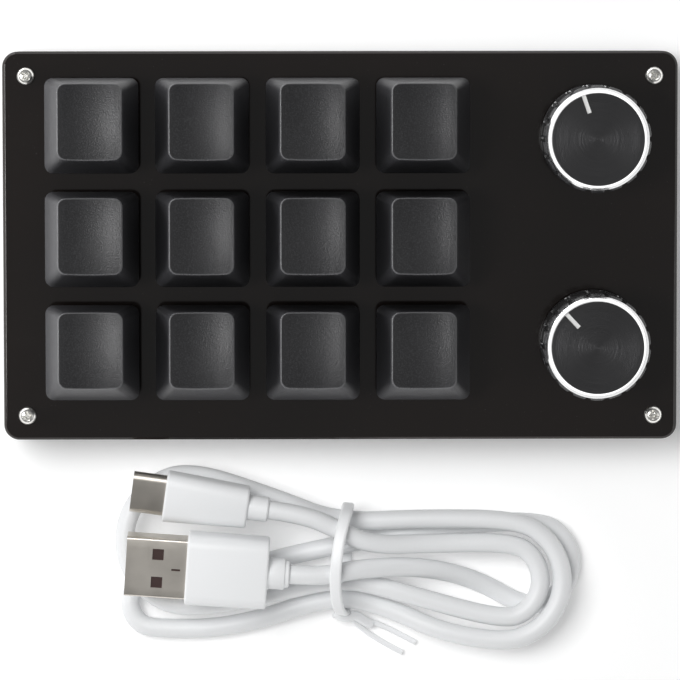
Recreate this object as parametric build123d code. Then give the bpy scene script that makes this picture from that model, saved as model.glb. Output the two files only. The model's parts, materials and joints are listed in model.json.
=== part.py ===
"""Macro keypad with twelve keys, two knobs that turn and press, and its tied USB lead, in millimetres.

X runs to the right, Y to the back and Z up. The origin is under the middle of the keypad, where its
feet stand.
"""

import math
import os

from build123d import *

# Clearances between pieces that fit together
SLIP = 0.05
RUNNING = 0.05
SEAT = 0.1
PANEL_GAP = 0.4

# Sides of round pieces, where few flat sides are near enough to round
HIDDEN_SIDES = 6
SMALL_SIDES = 12
KNOB_SIDES = 30
CABLE_SIDES = 5
TIE_SIDES = 4

# Top plate
PLATE_WIDTH = 131.0
PLATE_DEPTH = 75.5
PLATE_THICKNESS = 1.5
PLATE_CORNER = 3.0
PLATE_BEVEL = 0.5
CUTOUT = 14.0

# Lower case
CASE_WALL = 2.2
CASE_FLOOR = 2.0
CASE_BEVEL = 0.8
BOSS_DIAMETER = 7.0
BOSS_PILOT_DEPTH = 8.0
BOARD_POST = 3.6

# Feet
FOOT_DIAMETER = 8.0
FOOT_STAND = 1.5
FOOT_INSET_X = 11.5
FOOT_INSET_Y = 10.75

# Circuit board and what it carries
BOARD_THICKNESS = 1.6
BOARD_TO_PLATE_TOP = 5.0
BOARD_UNDERSPACE = 3.9
CHIP_SIZE = 7.0
CHIP_HEIGHT = 1.0
CHIP_FROM_KNOBS = 22.1
CHIP_FROM_KEYS = 10.6

# Screws
SCREW_INSET_X = 4.6
SCREW_INSET_Y = 4.75
SCREW_THREAD = 2.0
SCREW_HEAD = 3.5
SCREW_HEAD_HEIGHT = 1.2
SCREW_LENGTH = 8.0
RECESS_WIDTH = 0.5
RECESS_SPAN = 1.9
RECESS_DEPTH = 0.6

# Key grid, placed by the middles of its left column and its back row
COLUMNS = 4
ROWS = 3
KEY_PITCH_X = 21.3
KEY_PITCH_Y = 21.9
KEYS_FROM_LEFT = 17.55
KEYS_FROM_BACK = 14.25

# Key switch, with heights above the plate's top
TRAVEL = 4.0
FLANGE_SIZE = 15.6
FLANGE_HEIGHT = 0.9
HOUSING_WALL = 1.2
HOUSING_BASE = 14.6
HOUSING_TOP = 10.8
HOUSING_HEIGHT = 6.6
HOUSING_ROOF = 1.2
LOWER_FLOOR = 1.0
LOWER_CAVITY = 10.4
POST_SIZE = 3.9
SWITCH_POST_LENGTH = 3.2
PLATFORM_WIDTH = 6.9
PLATFORM_DEPTH = 5.3
STEM_OPENING_CLEARANCE = 0.2
SHOULDER_WIDTH = 8.6
SHOULDER_BOTTOM = 1.9
POLE_DIAMETER = 1.9
POLE_LENGTH = 3.2
POLE_CLEARANCE = 0.25
CROSS_SPAN = 4.0
CROSS_ARM_X = 1.3
CROSS_ARM_Y = 1.1
CROSS_HEIGHT = 3.6
SPRING_DIAMETER = 4.2
SPRING_WALL = 0.5

# Contact pins, soldered through the board
PIN_WIDTH = 0.9
PIN_THICKNESS = 0.6
PIN_LENGTH = 3.0
PIN_OFFSETS = ((-3.81, 2.54), (2.54, 5.08))

# Keycap
CAP_WIDTH = 18.1
CAP_DEPTH = 18.4
CAP_CORNER = 1.8
CAP_CLEAR_PRESSED = 2.0
CAP_HEIGHT = 9.0
FACE_WIDTH = 12.4
FACE_DEPTH = 14.4
FACE_BACK_SHIFT = 1.0
DISH_SINK = 0.7
CAP_WALL = 1.2
CAP_ROOF = 1.4
CAP_BOSS = 5.6

# Rotary encoder
KNOBS_FROM_RIGHT = 16.4
# Each knob's distance from the back edge and its pointer's turn from the back, in degrees
KNOBS = {"rear": (16.75, 19.0), "front": (56.55, 43.0)}
ENCODER_WIDTH = 11.7
ENCODER_DEPTH = 12.0
ENCODER_HEIGHT = 6.5
ENCODER_ROOF = 1.7
ENCODER_FLOOR = 0.8
BUSHING_DIAMETER = 7.0
BUSHING_HEIGHT = 5.0
SHAFT_DIAMETER = 6.0
SHAFT_GAP = 0.3
SHAFT_FLAT = 4.5
SHAFT_FLAT_LENGTH = 7.0
SHAFT_NECK = 3.6
SHAFT_NECK_FLAT = 3.0
PRESS_TRAVEL = 0.5
ROTOR_DIAMETER = 9.2
ROTOR_THICKNESS = 1.6
ROTOR_CLEARANCE = 0.4

# Knob
KNOB_BASE = 21.0
KNOB_SHOULDER = 20.3
KNOB_HEIGHT = 15.0
KNOB_CLEAR = 1.2
KNOB_RIM = 1.3
KNOB_RIM_STEP = 0.25
KNOB_HOLLOW = 18.2
KNOB_HOLLOW_DEPTH = 6.8
FLUTES = 18
FLUTE_WIDTH = 0.9
FLUTE_DEPTH = 0.45
KNOB_CAP = 19.6
KNOB_CAP_THICKNESS = 1.6
KNOB_CAP_BEVEL = 0.9
SPIGOT_DIAMETER = 14.0
SPIGOT_HEIGHT = 0.8
POINTER_WIDTH = 0.8
POINTER_DEPTH = 0.25
POINTER_INNER = 5.3

# USB-C receptacle in the back wall
PORT_WIDTH = 8.94
PORT_HEIGHT = 3.26
PORT_LENGTH = 7.35
PORT_WALL = 0.3
PORT_MOUTH_DEPTH = 6.2
PORT_SETBACK = 0.6
PORT_CLEARANCE = 0.3
TONGUE_WIDTH = 6.7
TONGUE_THICKNESS = 0.7
TONGUE_LENGTH = 4.5

# USB lead: the cable, its plugs and its tie, placed from the hank's waist
HANK_X = 0.5
HANK_Y = -62.0
CABLE_DIAMETER = 3.8
LAYER = 4.25
WAIST_RISE = 1.9
ARC_SHARE = 0.45
A_END = (-10.5, -2.3, 13.1)
A_YAW = 4.0
A_ROLL = -8.0
C_END = (-14.6, 10.3, 12.4)
C_YAW = 8.0
C_ROLL = -15.0
LEAD_OUT = 7.0
A_SHELL_WIDTH = 12.0
A_SHELL_THICKNESS = 4.5
A_SHELL_LENGTH = 11.8
A_SHELL_WALL = 0.3
A_INSERT_THICKNESS = 1.9
A_WINDOW = 2.2
A_WINDOW_SPACING = 5.6
A_WINDOW_FROM_NOSE = 6.2
A_GRIP_WIDTH = 14.2
A_GRIP_THICKNESS = 7.6
A_GRIP_LENGTH = 16.0
A_GRIP_CORNER = 2.4
A_NECK_LENGTH = 4.2
A_NECK_DIAMETER = 6.2
C_SHELL_WIDTH = 8.34
C_SHELL_THICKNESS = 2.56
C_SHELL_LENGTH = 6.5
C_SHELL_WALL = 0.3
C_GRIP_WIDTH = 10.2
C_GRIP_THICKNESS = 5.6
C_GRIP_REAR_WIDTH = 8.2
C_GRIP_LENGTH = 16.4
C_GRIP_CORNER = 2.2
C_NECK_LENGTH = 4.0
C_NECK_DIAMETER = 5.0
SHELL_SUNK = 2.0
NECK_WALL = 0.5
TIE_DIAMETER = 1.3
TIE_KNOT = 2.0

# Heights that follow from the values above
CASE_BOTTOM = FOOT_STAND
FLOOR_TOP = CASE_BOTTOM + CASE_FLOOR
BOARD_BOTTOM = FLOOR_TOP + BOARD_UNDERSPACE
BOARD_TOP = BOARD_BOTTOM + BOARD_THICKNESS
PLATE_TOP = BOARD_TOP + BOARD_TO_PLATE_TOP
CASE_TOP = PLATE_TOP - PLATE_THICKNESS
CAP_BOTTOM = PLATE_TOP + CAP_CLEAR_PRESSED + TRAVEL
STEM_TOP = PLATE_TOP + HOUSING_HEIGHT
ROOF_UNDERSIDE = STEM_TOP - HOUSING_ROOF
LOWER_FLOOR_TOP = BOARD_TOP + LOWER_FLOOR
ENCODER_TOP = BOARD_TOP + ENCODER_HEIGHT
KNOB_BOTTOM = PLATE_TOP + KNOB_CLEAR
KNOB_TOP = KNOB_BOTTOM + KNOB_HEIGHT
CAP_UNDERSIDE = KNOB_TOP - KNOB_CAP_THICKNESS
SHAFT_TOP = CAP_UNDERSIDE - SPIGOT_HEIGHT - SHAFT_GAP
PORT_Z = BOARD_BOTTOM - PORT_HEIGHT / 2
PORT_FACE_Y = PLATE_DEPTH / 2 - PORT_SETBACK

# Places in plan that follow from the plate's edges
LEFT = -PLATE_WIDTH / 2
RIGHT = PLATE_WIDTH / 2
BACK = PLATE_DEPTH / 2
INNER_WIDTH = PLATE_WIDTH - 2 * CASE_WALL
INNER_DEPTH = PLATE_DEPTH - 2 * CASE_WALL
CORNERS = [(i, j) for i in (-1, 1) for j in (-1, 1)]
SCREW_PLACES = [(i * (RIGHT - SCREW_INSET_X), j * (BACK - SCREW_INSET_Y)) for i, j in CORNERS]
FOOT_PLACES = [(i * (RIGHT - FOOT_INSET_X), j * (BACK - FOOT_INSET_Y)) for i, j in CORNERS]
KEYS_X = LEFT + KEYS_FROM_LEFT + KEY_PITCH_X * (COLUMNS - 1) / 2
KEYS_Y = BACK - KEYS_FROM_BACK - KEY_PITCH_Y * (ROWS - 1) / 2
KNOB_X = RIGHT - KNOBS_FROM_RIGHT
KNOB_PLACES = {name: (KNOB_X, BACK - from_back) for name, (from_back, _) in KNOBS.items()}
PORT_X = KEYS_X + KEY_PITCH_X


def key_place(row, column):
    """Centre of a key in plan. Row 1 is the back row and column 1 the left one."""
    x = KEYS_X + (column - (COLUMNS + 1) / 2) * KEY_PITCH_X
    y = KEYS_Y - (row - (ROWS + 1) / 2) * KEY_PITCH_Y
    return x, y


GRID = [(row, column) for row in range(1, ROWS + 1) for column in range(1, COLUMNS + 1)]
KEYS = {spot: key_place(*spot) for spot in GRID}


def block(width, depth, bottom, top, x=0.0, y=0.0):
    """Upright box given by its plan size and its two heights."""
    return Pos(x, y, (bottom + top) / 2) * Box(width, depth, top - bottom)


def rod(diameter, bottom, top, x=0.0, y=0.0):
    """Upright cylinder given by its two heights."""
    return Pos(x, y, (bottom + top) / 2) * Cylinder(diameter / 2, top - bottom)


def rounded_slab(width, depth, corner, bottom, top):
    """Upright slab with rounded corners in plan."""
    return extrude(Plane.XY.offset(bottom) * RectangleRounded(width, depth, corner), top - bottom)


def sided_rod(sides, diameter, bottom, top, x=0.0, y=0.0):
    """Upright many-sided rod given by its two heights."""
    return extrude(Plane((x, y, bottom)) * RegularPolygon(diameter / 2, sides), top - bottom)


def hidden_rod(diameter, bottom, top, x=0.0, y=0.0):
    """Upright rod for small round pieces that the housings hide."""
    return sided_rod(HIDDEN_SIDES, diameter, bottom, top, x, y)


def wedge(low_width, high_width, bottom, top, shift):
    """Outline of a block with sloping sides, seen along one axis."""
    low, high = low_width / 2, high_width / 2
    corners = [(-low, bottom), (low, bottom), (shift + high, top), (shift - high, top)]
    return make_face(Polyline(*corners, close=True))


def tapered(lower, upper, bottom, top, shift=0.0):
    """Block with flat sloping sides between two rectangles, the upper one shifted to the back."""
    across = Plane.XZ * wedge(lower[0], upper[0], bottom, top, 0.0)
    along = Plane.YZ * wedge(lower[1], upper[1], bottom, top, shift)
    return extrude(across, sum(lower), both=True) & extrude(along, sum(lower), both=True)


def eased(shape, radius, height):
    """Rounds the edges that climb at least the given height, with three flats to each corner."""
    eighth, sixteenth = math.tan(math.pi / 8), math.tan(math.pi / 16)
    for setback in (radius * (2 - math.sqrt(2)), radius * (eighth - sixteenth)):
        shape = chamfer([e for e in shape.edges() if e.bounding_box().size.Z > height], setback)
    return shape


def stadium(width, thickness, bottom, top):
    """Upright block with rounded ends."""
    return eased(block(width, thickness, bottom, top), thickness / 2, (top - bottom) / 2)


# Plate, case, board and fasteners


def top_plate():
    """Plate with a cut-out for each switch and encoder, and a hole for each screw."""
    plate = rounded_slab(PLATE_WIDTH, PLATE_DEPTH, PLATE_CORNER, CASE_TOP, PLATE_TOP)
    plate = chamfer(plate.edges().group_by(Axis.Z)[-1], PLATE_BEVEL)
    cutout = block(CUTOUT, CUTOUT, CASE_TOP - 1, PLATE_TOP + 1)
    plate -= [Pos(x, y, 0) * cutout for x, y in (*KEYS.values(), *KNOB_PLACES.values())]
    plate -= [hidden_rod(SCREW_THREAD + 2 * SEAT, CASE_TOP - 1, PLATE_TOP + 1, x, y) for x, y in SCREW_PLACES]
    return plate


def board_posts():
    """Places of the posts that carry the board, between the keys and between the knobs."""
    step = KEY_PITCH_X * (COLUMNS - 2) / 2
    posts = [(KEYS_X + i * step, KEYS_Y + j * KEY_PITCH_Y / 2) for i in (-1, 0, 1) for j in (-1, 1)]
    return posts + [(KNOB_X, sum(y for _, y in KNOB_PLACES.values()) / len(KNOB_PLACES))]


def port_face():
    """Plane of the socket's mouth, facing the back."""
    return Plane((PORT_X, PORT_FACE_Y, PORT_Z), x_dir=(-1, 0, 0), z_dir=(0, 1, 0))


def lower_case():
    """Open tray with screw bosses, board posts and the socket's opening."""
    case = rounded_slab(PLATE_WIDTH, PLATE_DEPTH, PLATE_CORNER, CASE_BOTTOM, CASE_TOP)
    case = chamfer(case.edges().group_by(Axis.Z)[0], CASE_BEVEL)
    case -= block(INNER_WIDTH, INNER_DEPTH, FLOOR_TOP, CASE_TOP)
    for x, y in SCREW_PLACES:
        case += hidden_rod(BOSS_DIAMETER, FLOOR_TOP - 1, CASE_TOP, x, y)
        case -= hidden_rod(SCREW_THREAD + 2 * SLIP, CASE_TOP - BOSS_PILOT_DEPTH, CASE_TOP + 1, x, y)
    case += [block(BOARD_POST, BOARD_POST, FLOOR_TOP - 1, BOARD_BOTTOM, x, y) for x, y in board_posts()]
    gap = 2 * PORT_CLEARANCE
    opening = stadium(PORT_WIDTH + gap, PORT_HEIGHT + gap, -CASE_WALL, CASE_WALL)
    return case - port_face().location * opening


def circuit_board():
    """Board cut round the bosses, with holes for the switch posts and pins."""
    board = block(INNER_WIDTH - 2 * PANEL_GAP, INNER_DEPTH - 2 * PANEL_GAP, BOARD_BOTTOM, BOARD_TOP)
    for x, y in SCREW_PLACES:
        board -= hidden_rod(BOSS_DIAMETER + 2 * PANEL_GAP, BOARD_BOTTOM - 1, BOARD_TOP + 1, x, y)
    holes = [hidden_rod(POST_SIZE + 2 * SEAT, BOARD_BOTTOM - 1, BOARD_TOP + 1)]
    for dx, dy in PIN_OFFSETS:
        size = (PIN_WIDTH + 2 * SEAT, PIN_THICKNESS + 2 * SEAT)
        holes.append(block(*size, BOARD_BOTTOM - 1, BOARD_TOP + 1, dx, dy))
    return board - [Pos(x, y, 0) * hole for x, y in KEYS.values() for hole in holes]


def controller_chip():
    """Chip under the board, between the keys and the knobs."""
    place = (KNOB_X - CHIP_FROM_KNOBS, KEYS_Y - CHIP_FROM_KEYS)
    return block(CHIP_SIZE, CHIP_SIZE, BOARD_BOTTOM - CHIP_HEIGHT, BOARD_BOTTOM, *place)


def plate_screw():
    """Pan-head screw with a cross recess, seated on the plate."""
    head_top = PLATE_TOP + SCREW_HEAD_HEIGHT
    head = sided_rod(SMALL_SIDES, SCREW_HEAD, PLATE_TOP, head_top)
    head -= block(RECESS_SPAN, RECESS_WIDTH, head_top - RECESS_DEPTH, head_top)
    head -= block(RECESS_WIDTH, RECESS_SPAN, head_top - RECESS_DEPTH, head_top)
    return head + hidden_rod(SCREW_THREAD, PLATE_TOP - SCREW_LENGTH, PLATE_TOP)


def rubber_foot():
    """Round foot stuck to the case's underside."""
    return sided_rod(SMALL_SIDES, FOOT_DIAMETER, 0, CASE_BOTTOM)


def usb_receptacle():
    """Socket shell under the board, open to the back, with its tongue."""
    socket = stadium(PORT_WIDTH, PORT_HEIGHT, -PORT_LENGTH, 0)
    socket -= stadium(PORT_WIDTH - 2 * PORT_WALL, PORT_HEIGHT - 2 * PORT_WALL, -PORT_MOUTH_DEPTH, 0)
    socket += block(TONGUE_WIDTH, TONGUE_THICKNESS, -PORT_MOUTH_DEPTH, TONGUE_LENGTH - PORT_MOUTH_DEPTH)
    return port_face().location * socket


# Key switch and keycap, each about its own key centre


def lower_housing():
    """Switch base: flange on the plate, open cavity and the bored post through the board."""
    body = block(CUTOUT - 2 * SLIP, CUTOUT - 2 * SLIP, BOARD_TOP, PLATE_TOP)
    flange_top = PLATE_TOP + FLANGE_HEIGHT
    body += block(FLANGE_SIZE, FLANGE_SIZE, PLATE_TOP, flange_top)
    body += hidden_rod(POST_SIZE, BOARD_TOP - SWITCH_POST_LENGTH, LOWER_FLOOR_TOP)
    body -= block(LOWER_CAVITY, LOWER_CAVITY, LOWER_FLOOR_TOP, flange_top + 1)
    pole_low = PLATE_TOP + SHOULDER_BOTTOM - POLE_LENGTH - TRAVEL
    return body - hidden_rod(POLE_DIAMETER + 2 * POLE_CLEARANCE, pole_low - 2 * SEAT, LOWER_FLOOR_TOP + 1)


def upper_housing():
    """Tapered switch cover, open below, with the stem's opening in its roof."""
    bottom = PLATE_TOP + FLANGE_HEIGHT
    cover = tapered((HOUSING_BASE, HOUSING_BASE), (HOUSING_TOP, HOUSING_TOP), bottom, STEM_TOP)
    inner_base = HOUSING_BASE - 2 * HOUSING_WALL
    slope = (HOUSING_BASE - HOUSING_TOP) / (STEM_TOP - bottom)
    inner_top = inner_base - slope * (ROOF_UNDERSIDE - bottom)
    cover -= tapered((inner_base, inner_base), (inner_top, inner_top), bottom, ROOF_UNDERSIDE)
    gap = 2 * STEM_OPENING_CLEARANCE
    return cover - block(PLATFORM_WIDTH + gap, PLATFORM_DEPTH + gap, ROOF_UNDERSIDE - 1, STEM_TOP + 1)


def stem():
    """Sliding stem: the cross, its platform, the shoulder under the roof and the pole below."""
    shoulder = PLATE_TOP + SHOULDER_BOTTOM
    body = block(PLATFORM_WIDTH, PLATFORM_DEPTH, shoulder, STEM_TOP)
    body += block(SHOULDER_WIDTH, PLATFORM_DEPTH, shoulder, ROOF_UNDERSIDE - SLIP)
    body += hidden_rod(POLE_DIAMETER, shoulder - POLE_LENGTH, shoulder)
    body += block(CROSS_SPAN, CROSS_ARM_Y, STEM_TOP - 1, STEM_TOP + CROSS_HEIGHT)
    return body + block(CROSS_ARM_X, CROSS_SPAN, STEM_TOP - 1, STEM_TOP + CROSS_HEIGHT)


def spring():
    """Envelope of the return spring, between the housing's floor and the stem."""
    ends = (LOWER_FLOOR_TOP, PLATE_TOP + SHOULDER_BOTTOM)
    return hidden_rod(SPRING_DIAMETER, *ends) - hidden_rod(SPRING_DIAMETER - 2 * SPRING_WALL, *ends)


def contact_pins():
    """The two flat pins under one switch."""
    return [
        block(PIN_WIDTH, PIN_THICKNESS, BOARD_TOP - PIN_LENGTH, BOARD_TOP, dx, dy) for dx, dy in PIN_OFFSETS
    ]


def keycap():
    """Sculpted cap: sloping sides, a face dished across its width, and a slotted boss inside."""
    top = CAP_BOTTOM + CAP_HEIGHT
    cap = tapered((CAP_WIDTH, CAP_DEPTH), (FACE_WIDTH, FACE_DEPTH), CAP_BOTTOM, top, FACE_BACK_SHIFT)
    cap = eased(cap, CAP_CORNER, CAP_HEIGHT / 2)
    dish_radius = ((FACE_WIDTH / 2) ** 2 + DISH_SINK**2) / (2 * DISH_SINK)
    cap -= Pos(0, 0, top - DISH_SINK + dish_radius) * Rot(90, 0, 0) * Cylinder(dish_radius, 2 * CAP_DEPTH)
    ceiling = top - DISH_SINK - CAP_ROOF
    share = (ceiling - CAP_BOTTOM) / CAP_HEIGHT
    low = (CAP_WIDTH - 2 * CAP_WALL, CAP_DEPTH - 2 * CAP_WALL)
    high = (
        low[0] - (CAP_WIDTH - FACE_WIDTH) * share,
        low[1] - (CAP_DEPTH - FACE_DEPTH) * share,
    )
    cap -= tapered(low, high, CAP_BOTTOM, ceiling, FACE_BACK_SHIFT * share)
    cap += hidden_rod(CAP_BOSS, STEM_TOP + SLIP, ceiling)
    slot_top = STEM_TOP + CROSS_HEIGHT + SLIP
    cap -= block(CROSS_SPAN + 2 * SLIP, CROSS_ARM_Y + 2 * SLIP, STEM_TOP - 1, slot_top)
    return cap - block(CROSS_ARM_X + 2 * SLIP, CROSS_SPAN + 2 * SLIP, STEM_TOP - 1, slot_top)


# Encoder and knob, each about the knob's own axis


def flatted_rod(diameter, across, bottom, top, flats):
    """Upright rod cut back to flats: one flat leaves the given height, two leave the given width."""
    body = rod(diameter, bottom, top)
    if flats == 1:
        return body - block(diameter, diameter, bottom - 1, top + 1, 0, across)
    return body & block(2 * diameter, across, bottom - 1, top + 1)


def neck_bottom():
    """Height of the shaft's lower end at rest."""
    return BOARD_TOP + ENCODER_FLOOR + PRESS_TRAVEL + SEAT


def rotor_bottom():
    """Height of the rotor's underside, just above its ledge in the encoder."""
    return rotor_top() - ROTOR_THICKNESS


def rotor_top():
    """Height of the rotor's top, clear of the pressed shaft's shoulder."""
    return ENCODER_TOP - ENCODER_ROOF - PRESS_TRAVEL - SEAT


def encoder_body():
    """Encoder housing with its bushing, the bore for the shaft and the cavity for the rotor."""
    body = block(ENCODER_WIDTH, ENCODER_DEPTH, BOARD_TOP, ENCODER_TOP)
    body += hidden_rod(BUSHING_DIAMETER, ENCODER_TOP, ENCODER_TOP + BUSHING_HEIGHT)
    roof = ENCODER_TOP - ENCODER_ROOF
    body -= rod(SHAFT_DIAMETER + 2 * RUNNING, roof, ENCODER_TOP + BUSHING_HEIGHT)
    cavity = ROTOR_DIAMETER + 2 * ROTOR_CLEARANCE
    body -= block(cavity, cavity, rotor_bottom() - SEAT, roof)
    return body - hidden_rod(SHAFT_NECK + 2 * PANEL_GAP, BOARD_TOP + ENCODER_FLOOR, rotor_bottom() - SEAT)


def encoder_rotor():
    """Disc that the shaft's flats turn, while the shaft slides through it."""
    disc = hidden_rod(ROTOR_DIAMETER, rotor_bottom(), rotor_top())
    bore = flatted_rod(
        SHAFT_NECK + 2 * RUNNING, SHAFT_NECK_FLAT + 2 * RUNNING, rotor_bottom() - 1, rotor_top() + 1, 2
    )
    return disc - bore


def encoder_shaft():
    """Shaft with a flat for the knob and a flatted neck for the rotor."""
    shoulder = ENCODER_TOP - ENCODER_ROOF
    flat_bottom = SHAFT_TOP - SHAFT_FLAT_LENGTH
    shaft = rod(SHAFT_DIAMETER, shoulder, flat_bottom)
    shaft += flatted_rod(SHAFT_DIAMETER, SHAFT_FLAT, flat_bottom, SHAFT_TOP, 1)
    return shaft + flatted_rod(SHAFT_NECK, SHAFT_NECK_FLAT, neck_bottom(), shoulder, 2)


def knob_body():
    """Knob body with a slight draft, a foot rim, upright flutes, a hollow underside and a flatted bore."""
    top = CAP_UNDERSIDE
    rim_top = KNOB_BOTTOM + KNOB_RIM
    low, high = KNOB_BASE / 2 - KNOB_RIM_STEP, KNOB_SHOULDER / 2
    lean = math.degrees(math.atan2(low - high, top - rim_top))
    skirt = Plane.XY.offset(rim_top) * RegularPolygon(low, FLUTES, major_radius=False)
    body = extrude(skirt, top - rim_top, taper=lean)
    flute = block(2 * FLUTE_DEPTH, FLUTE_WIDTH, 0, top - rim_top + 1)
    flute = Pos(low, 0, rim_top) * Rot(0, -lean, 0) * flute
    body -= [Rot(0, 0, i * 360 / FLUTES) * flute for i in range(FLUTES)]
    body += sided_rod(KNOB_SIDES, KNOB_BASE, KNOB_BOTTOM, rim_top)
    body -= hidden_rod(SPIGOT_DIAMETER + 2 * SLIP, top - SPIGOT_HEIGHT - SLIP, top)
    body -= sided_rod(SMALL_SIDES, KNOB_HOLLOW, KNOB_BOTTOM, KNOB_BOTTOM + KNOB_HOLLOW_DEPTH)
    bore = (SHAFT_DIAMETER + 2 * SLIP, SHAFT_FLAT + 2 * SLIP)
    return body - flatted_rod(*bore, KNOB_BOTTOM, SHAFT_TOP + SLIP, 1)


def knob_cap(pointer_turn):
    """Turned metal disc with a cut rim, a spigot into the body and a milled pointer line."""
    cap = sided_rod(KNOB_SIDES, KNOB_CAP, CAP_UNDERSIDE, KNOB_TOP)
    cap = chamfer(cap.edges().group_by(Axis.Z)[-1], KNOB_CAP_BEVEL)
    cap += hidden_rod(SPIGOT_DIAMETER, CAP_UNDERSIDE - SPIGOT_HEIGHT, CAP_UNDERSIDE)
    reach = KNOB_CAP / 2
    middle = (reach + POINTER_INNER) / 2
    size = (POINTER_WIDTH, reach - POINTER_INNER)
    pointer = block(*size, KNOB_TOP - POINTER_DEPTH, KNOB_TOP + 1, 0, middle)
    return cap - Rot(0, 0, pointer_turn) * pointer


# USB lead


def turn_points(centre, radius, start, end, z, corners):
    """Corners of the open polygon round an arc of a loop, from a start to an end angle."""
    step = math.radians((end - start) / corners)
    reach = radius / math.cos(step / 2)
    angles = [math.radians(start) + (k + 0.5) * step for k in range(corners)]
    return [(centre[0] + reach * math.cos(a), centre[1] + reach * math.sin(a), z) for a in angles]


def lead_out(end, yaw):
    """Point that carries the cable straight out of a plug."""
    a = math.radians(yaw)
    return (end[0] + LEAD_OUT * math.cos(a), end[1] - LEAD_OUT * math.sin(a), end[2])


def cable_route():
    """Route from the A plug to the C plug: three turns at the right, two at the left, in three layers."""
    low = CABLE_DIAMETER / 2
    mid = low + LAYER
    high = mid + LAYER
    waist = low + WAIST_RISE
    return [
        A_END,
        lead_out(A_END, A_YAW),
        (2.0, -1.5, 11.2),
        (15.0, -1.5, 5.9),
        (26.5, -4.6, low),
        *turn_points((36.6, -1.4), 8.5, -112, 88, low, 5),
        (24.0, 6.4, low),
        (3.0, 3.2, waist),
        (-12.0, -0.2, low),
        (-25.0, -3.9, low),
        *turn_points((-34.6, -9.6), 5.0, 80, 285, low, 5),
        (-21.0, -14.2, low),
        (-2.0, -7.4, waist),
        (9.0, -10.0, 3.5),
        (19.0, -14.6, 5.75),
        *turn_points((31.3, -4.4), 11.9, -103, 92, mid, 6),
        (16.0, 7.9, mid),
        (-1.0, 7.1, mid),
        (-13.0, 11.9, mid),
        *turn_points((-28.4, 4.1), 13.0, 73, 282, mid, 6),
        (-14.0, -6.9, mid),
        (0.0, -3.6, mid + 0.2),
        (12.0, -6.9, mid),
        *turn_points((31.3, -4.4), 7.6, -105, 90, mid, 5),
        (17.0, 3.0, mid + 0.6),
        (5.0, 3.1, high),
        (-1.5, 6.6, 11.9),
        lead_out(C_END, C_YAW),
        C_END,
    ]


def arc_radii(points):
    """Radius of the tangent arc at each inner point, as large as its two runs allow."""
    corners = [Vector(*p) for p in points]
    radii = []
    for before, here, after in zip(corners, corners[1:], corners[2:]):
        run_in, run_out = here - before, after - here
        half_turn = math.radians(run_in.get_angle(run_out)) / 2
        radii.append(ARC_SHARE * min(run_in.length, run_out.length) / math.tan(half_turn))
    return radii


def many_sided_tube(points, diameter, sides):
    """Tube of a many-sided section along straight runs and tangent arcs, with its path."""
    path = FilletPolyline(*points, radius=arc_radii(points))
    start = Plane(path @ 0, z_dir=path % 0)
    return sweep(start * RegularPolygon(diameter / 2, sides), path=path), path


def least_gap(path, diameter, step=0.5, apart=3.0):
    """Least clear gap of a tube to itself, measured between points along its path."""
    count = int(path.length / step)
    points = [path @ (k / count) for k in range(count + 1)]
    skip = int(apart * diameter / step)
    nearest = min(
        (points[i] - points[j]).length for i in range(0, count + 1, 2) for j in range(i + skip, count + 1)
    )
    return nearest - diameter


def at_hank(shape):
    """Carries a piece from the hank's waist to its place in front of the keypad."""
    return Pos(HANK_X, HANK_Y, 0) * shape


def usb_cable():
    """The cable in its tied loops, as one unbroken tube."""
    points = cable_route()
    tube, path = many_sided_tube(points, CABLE_DIAMETER, CABLE_SIDES)
    section = RegularPolygon(CABLE_DIAMETER / 2, CABLE_SIDES).area
    print("cable length", round(path.length, 1), "radii", [round(r, 1) for r in arc_radii(points)])
    print("cable volume over section times length", round(tube.volume / (section * path.length), 4))
    print("cable least gap to itself", round(least_gap(path, CABLE_DIAMETER), 2))
    return at_hank(tube)


def on_plug(shape, end, yaw, roll):
    """Carries a plug's piece to the end of the cable: its nose along local Z, its width along local X."""
    nose = Vector(-math.cos(math.radians(yaw)), math.sin(math.radians(yaw)), 0)
    frame = Plane(end, x_dir=Vector(0, 0, 1).cross(nose), z_dir=nose)
    return at_hank(frame.location * Rot(0, 0, roll) * shape)


def neck(low, high, height):
    """Tapered strain relief between the cable and the grip, along local Z."""
    lean = math.degrees(math.atan2(high - low, 2 * height))
    return extrude(RegularPolygon(low / 2, SMALL_SIDES), height, taper=-lean)


def a_grip():
    """Moulded grip of the A plug with its stepped neck, along local Z."""
    top = A_NECK_LENGTH + A_GRIP_LENGTH
    grip = block(A_GRIP_WIDTH, A_GRIP_THICKNESS, A_NECK_LENGTH, top)
    grip = eased(grip, A_GRIP_CORNER, A_GRIP_LENGTH / 2)
    grip -= block(A_SHELL_WIDTH, A_SHELL_THICKNESS, top - SHELL_SUNK, top)
    return grip + neck(CABLE_DIAMETER + 2 * NECK_WALL, A_NECK_DIAMETER, A_NECK_LENGTH)


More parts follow.
